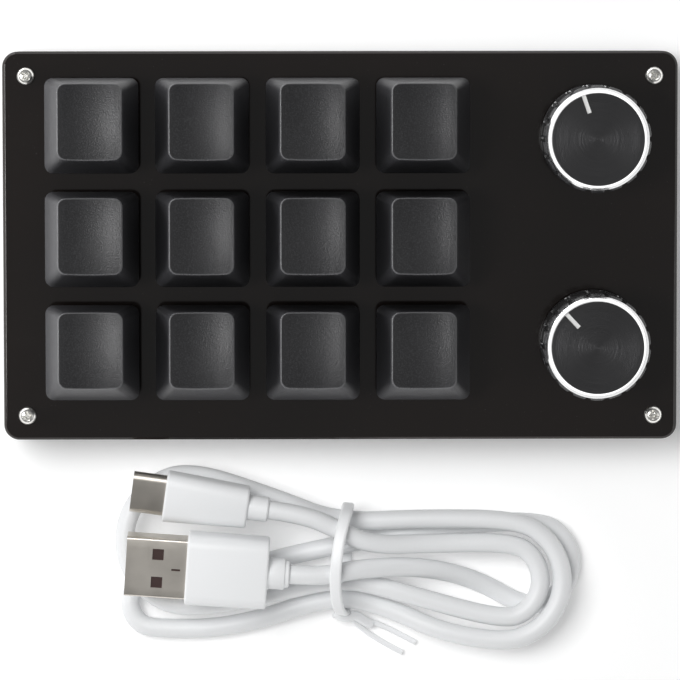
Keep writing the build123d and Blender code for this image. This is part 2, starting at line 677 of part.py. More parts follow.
def a_shell():
    """Folded metal shell of the A plug with its windows and insert, along local Z."""
    bottom = A_NECK_LENGTH + A_GRIP_LENGTH - SHELL_SUNK
    length = A_SHELL_LENGTH + SHELL_SUNK
    nose = bottom + length
    base = Plane.XY.offset(bottom)
    shell = extrude(base * Rectangle(A_SHELL_WIDTH, A_SHELL_THICKNESS), length)
    inner = (A_SHELL_WIDTH - 2 * A_SHELL_WALL, A_SHELL_THICKNESS - 2 * A_SHELL_WALL)
    shell -= extrude(base.offset(SHELL_SUNK) * Rectangle(*inner), length)
    insert = Box(inner[0], A_INSERT_THICKNESS, length - 2 * SLIP)
    shell += Pos(0, (A_INSERT_THICKNESS - inner[1]) / 2, bottom + length / 2 - SLIP) * insert
    for side in (-1, 1):
        window = Pos(side * A_WINDOW_SPACING / 2, A_SHELL_THICKNESS / 2, nose - A_WINDOW_FROM_NOSE)
        shell -= window * Box(A_WINDOW, 2 * A_SHELL_WALL + SLIP, A_WINDOW)
    return shell


def c_grip():
    """Moulded grip of the C plug, narrowing to its neck, along local Z."""
    top = C_NECK_LENGTH + C_GRIP_LENGTH
    rear, front = (C_GRIP_REAR_WIDTH, C_GRIP_THICKNESS), (C_GRIP_WIDTH, C_GRIP_THICKNESS)
    grip = tapered(rear, front, C_NECK_LENGTH, top)
    grip = eased(grip, C_GRIP_CORNER, C_GRIP_LENGTH / 2)
    grip -= stadium(C_SHELL_WIDTH, C_SHELL_THICKNESS, top - SHELL_SUNK, top)
    return grip + neck(CABLE_DIAMETER + 2 * NECK_WALL, C_NECK_DIAMETER, C_NECK_LENGTH)


def c_shell():
    """Drawn metal shell of the C plug, open at its nose, along local Z."""
    bottom = C_NECK_LENGTH + C_GRIP_LENGTH - SHELL_SUNK
    nose = bottom + SHELL_SUNK + C_SHELL_LENGTH
    shell = stadium(C_SHELL_WIDTH, C_SHELL_THICKNESS, bottom, nose)
    wall = 2 * C_SHELL_WALL
    return shell - stadium(C_SHELL_WIDTH - wall, C_SHELL_THICKNESS - wall, bottom + SHELL_SUNK, nose)


def cable_tie():
    """Tie round the hank's waist, with its knot in front and two loose tails."""
    low = TIE_DIAMETER / 2
    knot = (0.3, -11.4, 3.4)
    strands = [
        [knot, (0.8, -10.8, low), (0.7, 5.0, low), (0.9, 11.4, 4.6)],
        [
            knot,
            (0.0, -8.8, 8.6),
            (0.2, -5.6, 12.4),
            (0.6, -2.4, 14.3),
            (1.0, 4.6, 14.4),
            (1.1, 7.6, 13.2),
            (1.2, 9.6, 9.8),
            (0.9, 11.4, 4.6),
        ],
        [knot, (3.4, -12.8, 1.6), (8.6, -14.8, low + 0.1), (14.4, -18.2, low)],
        [knot, (2.2, -13.8, 1.3), (6.4, -17.6, low), (11.8, -20.6, low)],
    ]
    tie = extrude(Plane(knot) * RegularPolygon(TIE_KNOT / 2, HIDDEN_SIDES), TIE_KNOT / 2, both=True)
    for points in strands:
        path = Polyline(*points)
        section = Plane(points[0], z_dir=path % 0) * RegularPolygon(low, TIE_SIDES)
        tie += sweep(section, path=path, transition=Transition.RIGHT)
    return at_hank(tie)


def write(name, shape):
    """Writes one node's solids to its own file."""
    if isinstance(shape, (list, tuple)):
        shape = Compound(children=[s for item in shape for s in item.solids()])
    export_step(shape, f"parts/{name}.step")


def write_structure():
    """Writes the plate, the case, the board and what is fixed to them."""
    write("top_plate", top_plate())
    write("lower_case", lower_case())
    write("circuit_board", circuit_board())
    write("plate_screws", [Pos(x, y, 0) * plate_screw() for x, y in SCREW_PLACES])
    write("rubber_feet", [Pos(x, y, 0) * rubber_foot() for x, y in FOOT_PLACES])
    write("usb_receptacle", usb_receptacle())
    write("controller_chip", controller_chip())


def write_keys():
    """Writes the switches and their caps, each moving piece in its own file."""
    places = [Pos(x, y, 0) for x, y in KEYS.values()]
    fixed = {
        "switch_lower_housings": [lower_housing()],
        "switch_upper_housings": [upper_housing()],
        "switch_contact_pins": contact_pins(),
    }
    for name, pieces in fixed.items():
        write(name, [place * piece for place in places for piece in pieces])
    moving = {"keycap": keycap(), "key_stem": stem(), "key_spring": spring()}
    for (row, column), (x, y) in KEYS.items():
        for name, piece in moving.items():
            write(f"{name}_r{row}c{column}", Pos(x, y, 0) * piece)


def write_knobs():
    """Writes the two encoders and their knobs."""
    write("encoder_bodies", [Pos(x, y, 0) * encoder_body() for x, y in KNOB_PLACES.values()])
    for name, (_, pointer_turn) in KNOBS.items():
        place = Pos(*KNOB_PLACES[name], 0)
        write(f"encoder_rotor_{name}", place * encoder_rotor())
        write(f"encoder_shaft_{name}", place * encoder_shaft())
        write(f"knob_body_{name}", place * knob_body())
        write(f"knob_cap_{name}", place * knob_cap(pointer_turn))


def write_lead():
    """Writes the USB lead."""
    a_place = (A_END, A_YAW, A_ROLL)
    c_place = (C_END, C_YAW, C_ROLL)
    write("usb_cable", usb_cable())
    write("usb_plug_grips", [on_plug(a_grip(), *a_place), on_plug(c_grip(), *c_place)])
    write("usb_a_plug_shell", on_plug(a_shell(), *a_place))
    write("usb_c_plug_shell", on_plug(c_shell(), *c_place))
    write("cable_tie", cable_tie())


os.makedirs("parts", exist_ok=True)
write_structure()
write_keys()
write_knobs()
write_lead()
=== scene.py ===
"""Looks of the macro keypad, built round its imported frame.

Lengths are in metres, and in millimetres where a docstring says so.
"""

import json
import logging
import math
from collections.abc import Callable, Sequence
from dataclasses import dataclass
from enum import Enum

import bmesh
import bpy
from mathutils import Matrix, Vector

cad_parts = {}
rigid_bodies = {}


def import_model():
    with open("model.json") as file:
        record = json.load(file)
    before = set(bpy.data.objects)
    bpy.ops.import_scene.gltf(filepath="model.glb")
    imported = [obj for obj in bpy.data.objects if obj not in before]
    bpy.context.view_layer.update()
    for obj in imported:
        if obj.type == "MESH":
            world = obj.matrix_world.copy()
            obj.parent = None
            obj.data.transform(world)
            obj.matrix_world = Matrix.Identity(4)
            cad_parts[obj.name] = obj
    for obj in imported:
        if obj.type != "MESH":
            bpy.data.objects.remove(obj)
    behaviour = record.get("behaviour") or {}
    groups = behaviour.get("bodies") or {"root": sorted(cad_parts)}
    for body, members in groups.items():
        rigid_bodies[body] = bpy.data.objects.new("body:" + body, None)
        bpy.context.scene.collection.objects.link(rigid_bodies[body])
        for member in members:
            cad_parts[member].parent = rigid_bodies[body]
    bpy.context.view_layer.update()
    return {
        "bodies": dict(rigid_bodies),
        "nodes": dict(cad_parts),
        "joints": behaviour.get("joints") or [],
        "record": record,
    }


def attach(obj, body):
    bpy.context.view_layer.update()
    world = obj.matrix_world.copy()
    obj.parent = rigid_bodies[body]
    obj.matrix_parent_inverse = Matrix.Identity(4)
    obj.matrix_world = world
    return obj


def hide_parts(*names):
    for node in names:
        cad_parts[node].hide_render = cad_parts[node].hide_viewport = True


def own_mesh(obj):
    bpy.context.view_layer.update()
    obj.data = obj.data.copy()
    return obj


log = logging.getLogger("keypad")

Pair = tuple[float, float]
Point = tuple[float, float, float]
Colour = tuple[float, float, float]
Profile = Sequence[Pair]
Shape = bmesh.types.BMesh
Face = bmesh.types.BMFace
Piece = bpy.types.Object

BASE = "base"
MM = 0.001
MERGE_WITHIN = 0.0005 * MM  # points nearer to each other than this are one
SAME_LEVEL = 0.01 * MM  # faces nearer to a level than this lie in it
HAIR = 1e-6  # margin where two heights are compared
CUT_MARGIN = 1e-7  # points nearer to a cutting plane than this lie in it
SQUARE_ON = 0.99  # least part of a face's normal along the way that it looks
UPRIGHT = 0.8  # least part of an edge's direction along Z
UP: Point = (0.0, 0.0, 1.0)
DOWN: Point = (0.0, 0.0, -1.0)


def mm(*lengths: float) -> tuple[float, ...]:
    """Millimetres as metres."""
    return tuple(length * MM for length in lengths)


def in_metres(points: Sequence[Point]) -> list[Point]:
    """Points in millimetres as points in metres."""
    return [mm(*point) for point in points]


class Slot(Enum):
    """Material slots of the part's record."""

    PLATE = "plate"
    CASE = "case"
    KEYCAP = "keycap"
    HOUSING = "switch_housing"
    SPRING = "spring"
    SCREWS = "screws"
    FEET = "feet"
    KNOB = "knob"
    KNOB_CAP = "knob_cap"
    CABLE = "cable"
    GRIP = "grip"
    PLUG_SHELL = "plug_shell"
    TIE = "tie"


class Reach(Enum):
    """What a light does with the pieces of its group."""

    ONLY = "INCLUDE"
    ALL_BUT = "EXCLUDE"


# Shader tools


class Signal:
    """A shader socket that takes part in arithmetic."""

    def __init__(self, shader: "Shader", socket: bpy.types.NodeSocket | None) -> None:
        """Keeps the shader and its socket, which an output node doesn't have."""
        self.shader = shader
        self.socket = socket

    def math(self, operation: str, first: "Value", second: "Value") -> "Signal":
        """Adds one Math node.

        Args:
            operation: The node's operation.
            first: Its first value or link.
            second: Its second value or link.

        Returns:
            The node's result.
        """
        return self.shader.node("ShaderNodeMath", {"operation": operation}, {0: first, 1: second})

    def __add__(self, other: "Value") -> "Signal":
        """Sum with a value."""
        return self.math("ADD", self, other)

    def __radd__(self, other: "Value") -> "Signal":
        """Sum with a value at the left."""
        return self.math("ADD", other, self)

    def __sub__(self, other: "Value") -> "Signal":
        """Difference from a value."""
        return self.math("SUBTRACT", self, other)

    def __rsub__(self, other: "Value") -> "Signal":
        """Difference of a value at the left."""
        return self.math("SUBTRACT", other, self)

    def __mul__(self, other: "Value") -> "Signal":
        """Product with a value."""
        return self.math("MULTIPLY", self, other)

    def __rmul__(self, other: "Value") -> "Signal":
        """Product with a value at the left."""
        return self.math("MULTIPLY", other, self)


Value = Signal | float | Colour | Sequence[float]


class Shader:
    """Builds one node tree, of a material or of the world."""

    def __init__(self, tree: bpy.types.NodeTree) -> None:
        """Empties the tree."""
        self.tree = tree
        tree.nodes.clear()

    def node(
        self,
        kind: str,
        settings: dict[str, object] | None = None,
        inputs: dict[int | str, Value] | None = None,
        output: int | str = 0,
    ) -> Signal:
        """Adds one node.

        Args:
            kind: The node's type.
            settings: Its settings, with a colour ramp's stops under "stops".
            inputs: Values or links of its sockets.
            output: The socket that is returned.

        Returns:
            The chosen output.
        """
        made = self.tree.nodes.new(kind)
        for name, value in (settings or {}).items():
            if name == "stops":
                self.set_stops(made.color_ramp, value)
            else:
                setattr(made, name, value)
        for key, value in (inputs or {}).items():
            if isinstance(value, Signal):
                self.tree.links.new(value.socket, made.inputs[key])
            else:
                made.inputs[key].default_value = value
        return Signal(self, made.outputs[output] if made.outputs else None)

    @staticmethod
    def set_stops(ramp: bpy.types.ColorRamp, stops: Profile) -> None:
        """Sets a ramp to grey stops.

        Args:
            ramp: The ramp, with its two first elements.
            stops: Position and grey of each stop.
        """
        while len(ramp.elements) < len(stops):
            ramp.elements.new(0.5)
        for element, (position, grey) in zip(ramp.elements, stops):
            element.position = position
            element.color = (grey, grey, grey, 1.0)

    def place(self) -> Signal:
        """The piece's own place in the frame."""
        return self.node("ShaderNodeTexCoord", output="Object")

    def mapped(self, location: Point = (0.0, 0.0, 0.0), scale: Point = (1.0, 1.0, 1.0)) -> Signal:
        """The place, moved and stretched.

        Args:
            location: What is added to it.
            scale: What it is multiplied by first.

        Returns:
            The mapped vector.
        """
        inputs = {"Vector": self.place(), "Location": location, "Scale": scale}
        return self.node("ShaderNodeMapping", {"vector_type": "POINT"}, inputs)

    def noise(self, size: float, detail: float = 3.0, where: Signal | None = None) -> Signal:
        """Cloudy noise.

        Args:
            size: Size of its largest forms.
            detail: How many finer layers it has.
            where: The vector that it follows, or the place.

        Returns:
            Its strength, from 0 to 1.
        """
        inputs = {"Vector": where or self.place(), "Scale": 1.0 / size, "Detail": detail}
        return self.node("ShaderNodeTexNoise", None, inputs, "Fac")

    def ramp(self, signal: Signal, *stops: Pair) -> Signal:
        """The signal through a grey ramp."""
        return self.node("ShaderNodeValToRGB", {"stops": stops}, {"Fac": signal})

    def blend(self, share: Value, first: Value, second: Value) -> Signal:
        """Mixes two colours.

        Args:
            share: Share of the second colour.
            first: The first colour.
            second: The second colour.

        Returns:
            The mixed colour.
        """
        ends = [end if isinstance(end, Signal) else (*end, 1.0) for end in (first, second)]
        inputs = {0: share, 6: ends[0], 7: ends[1]}
        return self.node("ShaderNodeMix", {"data_type": "RGBA"}, inputs, 2)

    def bump(self, height: Signal, relief: float) -> Signal:
        """Normal of a surface with a relief.

        Args:
            height: The relief's pattern, from 0 to 1.
            relief: Its depth.

        Returns:
            The normal.
        """
        inputs = {"Strength": 1.0, "Distance": relief, "Height": height}
        return self.node("ShaderNodeBump", None, inputs)


def toned(colour: Colour, factor: float) -> Colour:
    """The colour, lighter or darker by a factor."""
    return tuple(min(1.0, value * factor) for value in colour)


@dataclass(frozen=True)
class Finish:
    """A finish that any piece may have."""

    name: str
    colour: Colour
    roughness: float

    def material(self) -> bpy.types.Material:
        """The finish as a material, made once.

        Returns:
            The material.
        """
        found = bpy.data.materials.get(self.name)
        if found:
            return found
        material = bpy.data.materials.new(self.name)
        material.use_nodes = True
        shader = Shader(material.node_tree)
        surface = shader.node("ShaderNodeBsdfPrincipled", None, self.sockets(shader))
        shader.node("ShaderNodeOutputMaterial", None, {"Surface": surface})
        return material

    def sockets(self, shader: Shader) -> dict[int | str, Value]:
        """Values and links of the surface's sockets."""
        raise NotImplementedError

    def rough(self, *patterns: tuple[Signal, float]) -> Signal:
        """The roughness, made to vary.

        Args:
            patterns: Each pattern round a half, and how much of it is added.

        Returns:
            The varying roughness.
        """
        total: Value = self.roughness
        for pattern, share in patterns:
            total = total + (pattern - 0.5) * share
        return total


@dataclass(frozen=True)
class Moulded(Finish):
    """Moulded plastic or rubber with a fine grain and slight clouding."""

    grain: float = 0.25 * MM
    relief: float = 0.004 * MM
    speckle: float = 0.25
    clouding: float = 0.12
    cloud_size: float = 14.0 * MM
    peaks: Profile = ((0.45, 0.0), (0.72, 1.0))
    grain_matt: float = 0.16
    cloud_matt: float = 0.12

    def sockets(self, shader: Shader) -> dict[int | str, Value]:
        """Clouded colour, worn gloss and grain.

        Args:
            shader: What builds the nodes.

        Returns:
            Values and links of the sockets.
        """
        grain = shader.noise(self.grain, detail=4.0)
        cloud = shader.noise(self.cloud_size, detail=2.0)
        dark, pale = (toned(self.colour, 1 + side * self.clouding) for side in (-1, 1))
        colour = shader.blend(cloud, dark, pale)
        peaks = shader.ramp(grain, *self.peaks)
        return {
            "Base Color": shader.blend(peaks, colour, toned(self.colour, 1 + self.speckle)),
            "Roughness": self.rough((grain, self.grain_matt), (cloud, self.cloud_matt)),
            "Normal": shader.bump(grain, self.relief),
        }


@dataclass(frozen=True)
class CastSheet(Finish):
    """Glossy cast sheet: faint smears, haze, specks of dust and warm patches of painted reflection.
    """

    # Warm tint that the clouds mix into the colour: a painted warm-brown reflection.
    painted_warm_reflection: Colour = (0.012, 0.008, 0.0065)
    cloud_size: float = 34.0 * MM
    smear_size: float = 9.0 * MM
    smear_stretch: Point = (0.5, 1.6, 1.0)
    dust: Colour = (0.2, 0.19, 0.18)
    dust_size: float = 0.35 * MM
    dust_peaks: Profile = ((0.74, 0.0), (0.8, 1.0))
    dust_share: float = 0.12
    dust_matt: float = 0.2
    smear_matt: float = 0.1
    waviness: float = 0.02 * MM
    refraction: float = 1.49

    def sockets(self, shader: Shader) -> dict[int | str, Value]:
        """Warm clouded black with smeared gloss.

        Args:
            shader: What builds the nodes.

        Returns:
            Values and links of the sockets.
        """
        cloud = shader.noise(self.cloud_size, detail=2.0)
        stretched = shader.mapped(scale=self.smear_stretch)
        smear = shader.noise(self.smear_size, detail=5.0, where=stretched)
        dust = shader.ramp(shader.noise(self.dust_size, detail=1.0), *self.dust_peaks)
        colour = shader.blend(cloud, self.colour, self.painted_warm_reflection)
        return {
            "Base Color": shader.blend(dust * self.dust_share, colour, self.dust),
            "Roughness": self.roughness + smear * self.smear_matt + dust * self.dust_matt,
            "Normal": shader.bump(cloud, self.waviness),
            "IOR": self.refraction,
        }


@dataclass(frozen=True)
class Metal(Finish):
    """Plated or bare metal with fine drawn lines and slight staining."""

    lines: Point = (1.0, 1.0, 1.0)
    line_size: float = 0.12 * MM
    line_matt: float = 0.14
    relief: float = 0.0015 * MM
    stains: Pair = (0.86, 1.08)
    stain_size: float = 5.0 * MM
    stain_matt: float = 0.1

    def sockets(self, shader: Shader) -> dict[int | str, Value]:
        """Stained metal colour with drawn lines.

        Args:
            shader: What builds the nodes.

        Returns:
            Values and links of the sockets.
        """
        drawn = shader.noise(self.line_size, where=shader.mapped(scale=self.lines))
        stain = shader.noise(self.stain_size)
        dark, pale = (toned(self.colour, tone) for tone in self.stains)
        return {
            "Base Color": shader.blend(stain, dark, pale),
            "Metallic": 1.0,
            "Roughness": self.rough((drawn, self.line_matt), (stain, self.stain_matt)),
            "Normal": shader.bump(drawn, self.relief),
        }


@dataclass(frozen=True)
class Turned(Finish):
    """Turned and anodised face: fine rings round a centre."""

    centre: Pair = (0.0, 0.0)
    pitch: float = 0.13 * MM
    relief: float = 0.06 * MM
    band: float = 0.5 * MM
    band_tones: Pair = (0.9, 1.1)
    band_matt: float = 0.05
    metallic: float = 0.85

    def sockets(self, shader: Shader) -> dict[int | str, Value]:
        """Dark metal whose rings tilt the light.

        Args:
            shader: What builds the nodes.

        Returns:
            Values and links of the sockets.
        """
        to_centre = (-self.centre[0], -self.centre[1], 0.0)
        flat = {0: shader.mapped(location=to_centre, scale=(1.0, 1.0, 0.0))}
        radius = shader.node("ShaderNodeVectorMath", {"operation": "LENGTH"}, flat, "Value")
        along = shader.node("ShaderNodeCombineXYZ", None, {"X": radius})
        rings = shader.noise(self.pitch, detail=2.0, where=along)
        bands = shader.noise(self.band, detail=2.0, where=along)
        dark, pale = (toned(self.colour, tone) for tone in self.band_tones)
        return {
            "Base Color": shader.blend(bands, dark, pale),
            "Metallic": self.metallic,
            "Roughness": self.rough((bands, self.band_matt)),
            "Normal": shader.bump(rings, self.relief),
        }


@dataclass(frozen=True)
class LitTable(Finish):
    """Pale table top that is lit from below."""

    glow: float = 0.2
    cloud_size: float = 400.0 * MM

    def sockets(self, shader: Shader) -> dict[int | str, Value]:
        """Pale colour with a soft glow.

        Args:
            shader: What builds the nodes.

        Returns:
            Values and links of the sockets.
        """
        cloud = shader.noise(self.cloud_size, detail=1.0)
        colour = shader.blend(cloud, toned(self.colour, 0.99), self.colour)
        return {
            "Base Color": colour,
            "Roughness": self.roughness,
            "Emission Color": colour,
            "Emission Strength": self.glow,
        }


@dataclass(frozen=True)
class SolderMask(Finish):
    """Circuit board: lacquered fibre with faint tracks under it."""

    track: Colour = (0.05, 0.16, 0.07)
    tracks_per_metre: float = 240.0
    relief: float = 0.02 * MM
    lacquer: float = 0.4
    cloud_size: float = 10.0 * MM
    cloud_matt: float = 0.15

    def sockets(self, shader: Shader) -> dict[int | str, Value]:
        """Lacquer colour with lighter tracks.

        Args:
            shader: What builds the nodes.

        Returns:
            Values and links of the sockets.
        """
        inputs = {"Vector": shader.place(), "Scale": self.tracks_per_metre}
        tracks = shader.node("ShaderNodeTexBrick", None, inputs, "Fac")
        return {
            "Base Color": shader.blend(tracks, toned(self.colour, 0.9), self.track),
            "Roughness": self.rough((shader.noise(self.cloud_size), self.cloud_matt)),
            "Normal": shader.bump(tracks, self.relief),
            "Coat Weight": self.lacquer,
        }


# What the white vinyls share
WHITE_VINYL = {"clouding": 0.015, "speckle": 0.01}

KEYCAP_PLASTIC = Moulded(
    "keycap_plastic",
    (0.0175, 0.0175, 0.019),
    0.34,
    grain=0.28 * MM,
    relief=0.042 * MM,
    speckle=1.2,
)
# Paler plastic on the keycaps' thin rim: a painted highlight along the rim's edge.
KEYCAP_RIM_HIGHLIGHT = Moulded("keycap_rim_painted_highlight", (0.07, 0.07, 0.073), 0.3, clouding=0.25)
CASE_PLASTIC = Moulded(
    "case_plastic", (0.018, 0.018, 0.019), 0.42, grain=0.4 * MM, relief=0.01 * MM
)
HOUSING_PLASTIC = Moulded("switch_plastic", (0.022, 0.022, 0.024), 0.38)
STEM_PLASTIC = Moulded("stem_plastic", (0.02, 0.12, 0.32), 0.34)
KNOB_PLASTIC = Moulded("knob_plastic", (0.02, 0.02, 0.021), 0.24, relief=0.002 * MM)
CHIP_RESIN = Moulded("chip_resin", (0.02, 0.02, 0.02), 0.55)
FOOT_RUBBER = Moulded("foot_rubber", (0.03, 0.03, 0.03), 0.75, grain=0.5 * MM, relief=0.015 * MM)
TONGUE_PLASTIC = Moulded("tongue_plastic", (0.02, 0.02, 0.02), 0.5)
INSERT_PLASTIC = Moulded("insert_plastic", (0.72, 0.72, 0.73), 0.4)
CABLE_VINYL = Moulded(
    "cable_vinyl", (0.8, 0.81, 0.82), 0.42, grain=0.5 * MM, relief=0.002 * MM, **WHITE_VINYL
)
GRIP_VINYL = Moulded("grip_vinyl", (0.84, 0.85, 0.86), 0.46, grain=0.3 * MM, **WHITE_VINYL)
TIE_VINYL = Moulded(
    "tie_vinyl", (0.86, 0.87, 0.88), 0.36, grain=0.6 * MM, clouding=0.02, speckle=0.01
)
PLATE_SHEET = CastSheet("plate_sheet", (0.005, 0.0045, 0.0045), 0.05)
BOARD_MASK = SolderMask("board_mask", (0.01, 0.07, 0.03), 0.35)
NICKEL = Metal("plated_nickel", (0.72, 0.68, 0.62), 0.36, lines=(0.2, 3.0, 3.0))
SCREW_STEEL = Metal("screw_steel", (0.97, 0.95, 0.9), 0.28)
SHAFT_METAL = Metal("shaft_metal", (0.6, 0.6, 0.6), 0.3, lines=(3.0, 3.0, 0.3))
CONTACT_METAL = Metal("contact_metal", (0.75, 0.6, 0.35), 0.3)
SPRING_STEEL = Metal("spring_steel", (0.7, 0.66, 0.55), 0.25)
# White paint on the pointer's floor: a painted highlight standing in for the bright reflection of
# the cut pointer line.
POINTER_HIGHLIGHT = Moulded("pointer_painted_highlight", (0.93, 0.93, 0.92), 0.4, clouding=0.02, speckle=0.01)
CUT_ALUMINIUM = Metal("cut_aluminium", (0.93, 0.93, 0.94), 0.14)
LIT_TABLE = LitTable("lit_table", (0.92, 0.92, 0.92), 0.8)
# Dark colour on the shallow window floors: painted shade in place of the dark inside seen through
# the shell's windows.
WINDOW_SHADE = Moulded("window_painted_shade", (0.035, 0.015, 0.013), 0.6)


# Modelling tools


def turned(profile: Profile, steps: int, base: float = 0.0) -> Shape:
    """Spins a profile about the upright axis.

    Args:
        profile: Radius and height of each point in order, in millimetres.
        steps: Parts of the full turn.
        base: The height that the profile's heights start from.

    Returns:
        The turned shape.
    """
    shape = bmesh.new()
    points = [shape.verts.new((radius * MM, 0.0, base + z * MM)) for radius, z in profile]
    lines = [shape.edges.new(pair) for pair in zip(points, points[1:])]
    bmesh.ops.spin(
        shape,
        geom=[*points, *lines],
        axis=UP,
        angle=2 * math.pi,
        steps=steps,
        use_merge=True,
    )
    bmesh.ops.remove_doubles(shape, verts=shape.verts, dist=MERGE_WITHIN)
    bmesh.ops.recalc_face_normals(shape, faces=shape.faces)
    return shape


def closed(shape: Shape, sides: int = 0) -> None:
    """Fills a shape's holes and turns its faces outwards.

    Args:
        shape: The shape.
        sides: Most sides that a filled hole may have, or 0 for any.
    """
    rims = [edge for edge in shape.edges if edge.is_boundary]
    bmesh.ops.holes_fill(shape, edges=rims, sides=sides)
    bmesh.ops.recalc_face_normals(shape, faces=shape.faces)


def bevelled(
    shape: Shape, edges: Sequence[bmesh.types.BMEdge], offset: float, segments: int
) -> list[Face]:
    """Rounds edges of a shape.

    Args:
        shape: The shape.
        edges: Its edges.
        offset: How far the rounding starts from each edge.
        segments: Faces across each rounding.

    Returns:
        The rounding's faces.
    """
    return bmesh.ops.bevel(
        shape,
        geom=list(edges),
        offset=offset,
        segments=segments,
        affect="EDGES",
        profile=0.5,
        material=-1,
    )["faces"]


def facing(shape: Shape, way: Point, level: float | None = None) -> list[Face]:
    """Flat faces of a shape that look one way.

    Args:
        shape: The shape.
        way: The way, of length 1.
        level: How far along it they lie, or None for any distance.

    Returns:
        The faces.
    """
    ray = Vector(way)
    faces = [face for face in shape.faces if face.normal.dot(ray) > SQUARE_ON]
    if level is None:
        return faces
    return [f for f in faces if abs(f.calc_center_median().dot(ray) - level) < SAME_LEVEL]


def bisected(shape: Shape, faces: Sequence[Face], point: Point, normal: Point) -> None:
    """Cuts some faces of a shape by a plane.

    Args:
        shape: The shape.
        faces: The faces.
        point: A point of the plane.
        normal: The plane's normal.
    """
    geom = set(faces)
    for face in faces:
        geom.update(face.edges)
        geom.update(face.verts)
    bmesh.ops.bisect_plane(
        shape, geom=list(geom), plane_co=point, plane_no=normal, dist=CUT_MARGIN
    )


def sunk(shape: Shape, cells: Sequence[Face], way: Point) -> list[Face]:
    """Pushes faces into a shape.

    Args:
        shape: The shape.
        cells: The faces.
        way: How far and in which direction.

    Returns:
        The faces at the recess's floor.
    """
    made = bmesh.ops.extrude_face_region(shape, geom=list(cells))["geom"]
    points = [item for item in made if isinstance(item, bmesh.types.BMVert)]
    floor = [item for item in made if isinstance(item, Face)]
    bmesh.ops.translate(shape, verts=points, vec=way)
    left = [face for face in cells if face.is_valid]
    bmesh.ops.delete(shape, geom=left, context="FACES_ONLY")
    return floor


def corners_of(faces: Sequence[Face]) -> list[bmesh.types.BMVert]:
    """The faces' corners, each once."""
    return list({corner for face in faces for corner in face.verts})


def cross_recess(shape: Shape, level: float, arms: Sequence[Pair], sink: float) -> list[Face]:
    """Sinks a cross into the flat end of a shape that stands on the upright axis.

    Args:
        shape: The shape.
        level: Height of the flat end.
        arms: Half sizes along X and Y of the cross's two arms.
        sink: How far the cross goes down, or less than nothing where it goes up.

    Returns:
        The faces at the cross's floor.
    """
    side = math.copysign(1.0, sink)

    def end_faces() -> list[Face]:
        """Faces of the flat end."""
        return facing(shape, (0.0, 0.0, side), level * side)

    shape.normal_update()
    for axis, normal in enumerate(((1.0, 0.0, 0.0), (0.0, 1.0, 0.0))):
        for arm in arms:
            for step in (-1, 1):
                bisected(shape, end_faces(), tuple(step * arm[axis] * n for n in normal), normal)
    chosen = []
    for face in end_faces():
        middle = face.calc_center_median()
        if any(abs(middle.x) < arm[0] and abs(middle.y) < arm[1] for arm in arms):
            chosen.append(face)
    return sunk(shape, chosen, (0.0, 0.0, -sink))


def block(size: Point, centre: Point) -> Shape:
    """A plain block to be shaped further.

    Args:
        size: Its length along each axis.
        centre: Its middle.

    Returns:
        The block.
    """
    shape = bmesh.new()
    bmesh.ops.create_cube(shape, size=1.0)
    bmesh.ops.scale(shape, vec=size, verts=shape.verts)
    bmesh.ops.translate(shape, vec=centre, verts=shape.verts)
    return shape


def upright_edges(shape: Shape) -> list[bmesh.types.BMEdge]:
    """Edges of a block that run mostly along its own Z."""
    runs = [(edge, edge.verts[0].co - edge.verts[1].co) for edge in shape.edges]
    return [edge for edge, run in runs if abs(run.normalized().z) > UPRIGHT]


def joined(first: Shape, second: Shape) -> Shape:
    """Adds a second shape's mesh to the first.

    Args:
        first: The shape that grows.
        second: The shape that is added, and freed.

    Returns:
        The first shape.
    """
    spare = bpy.data.meshes.new("spare")
    second.to_mesh(spare)
    second.free()
    first.from_mesh(spare)
    bpy.data.meshes.remove(spare)
    return first


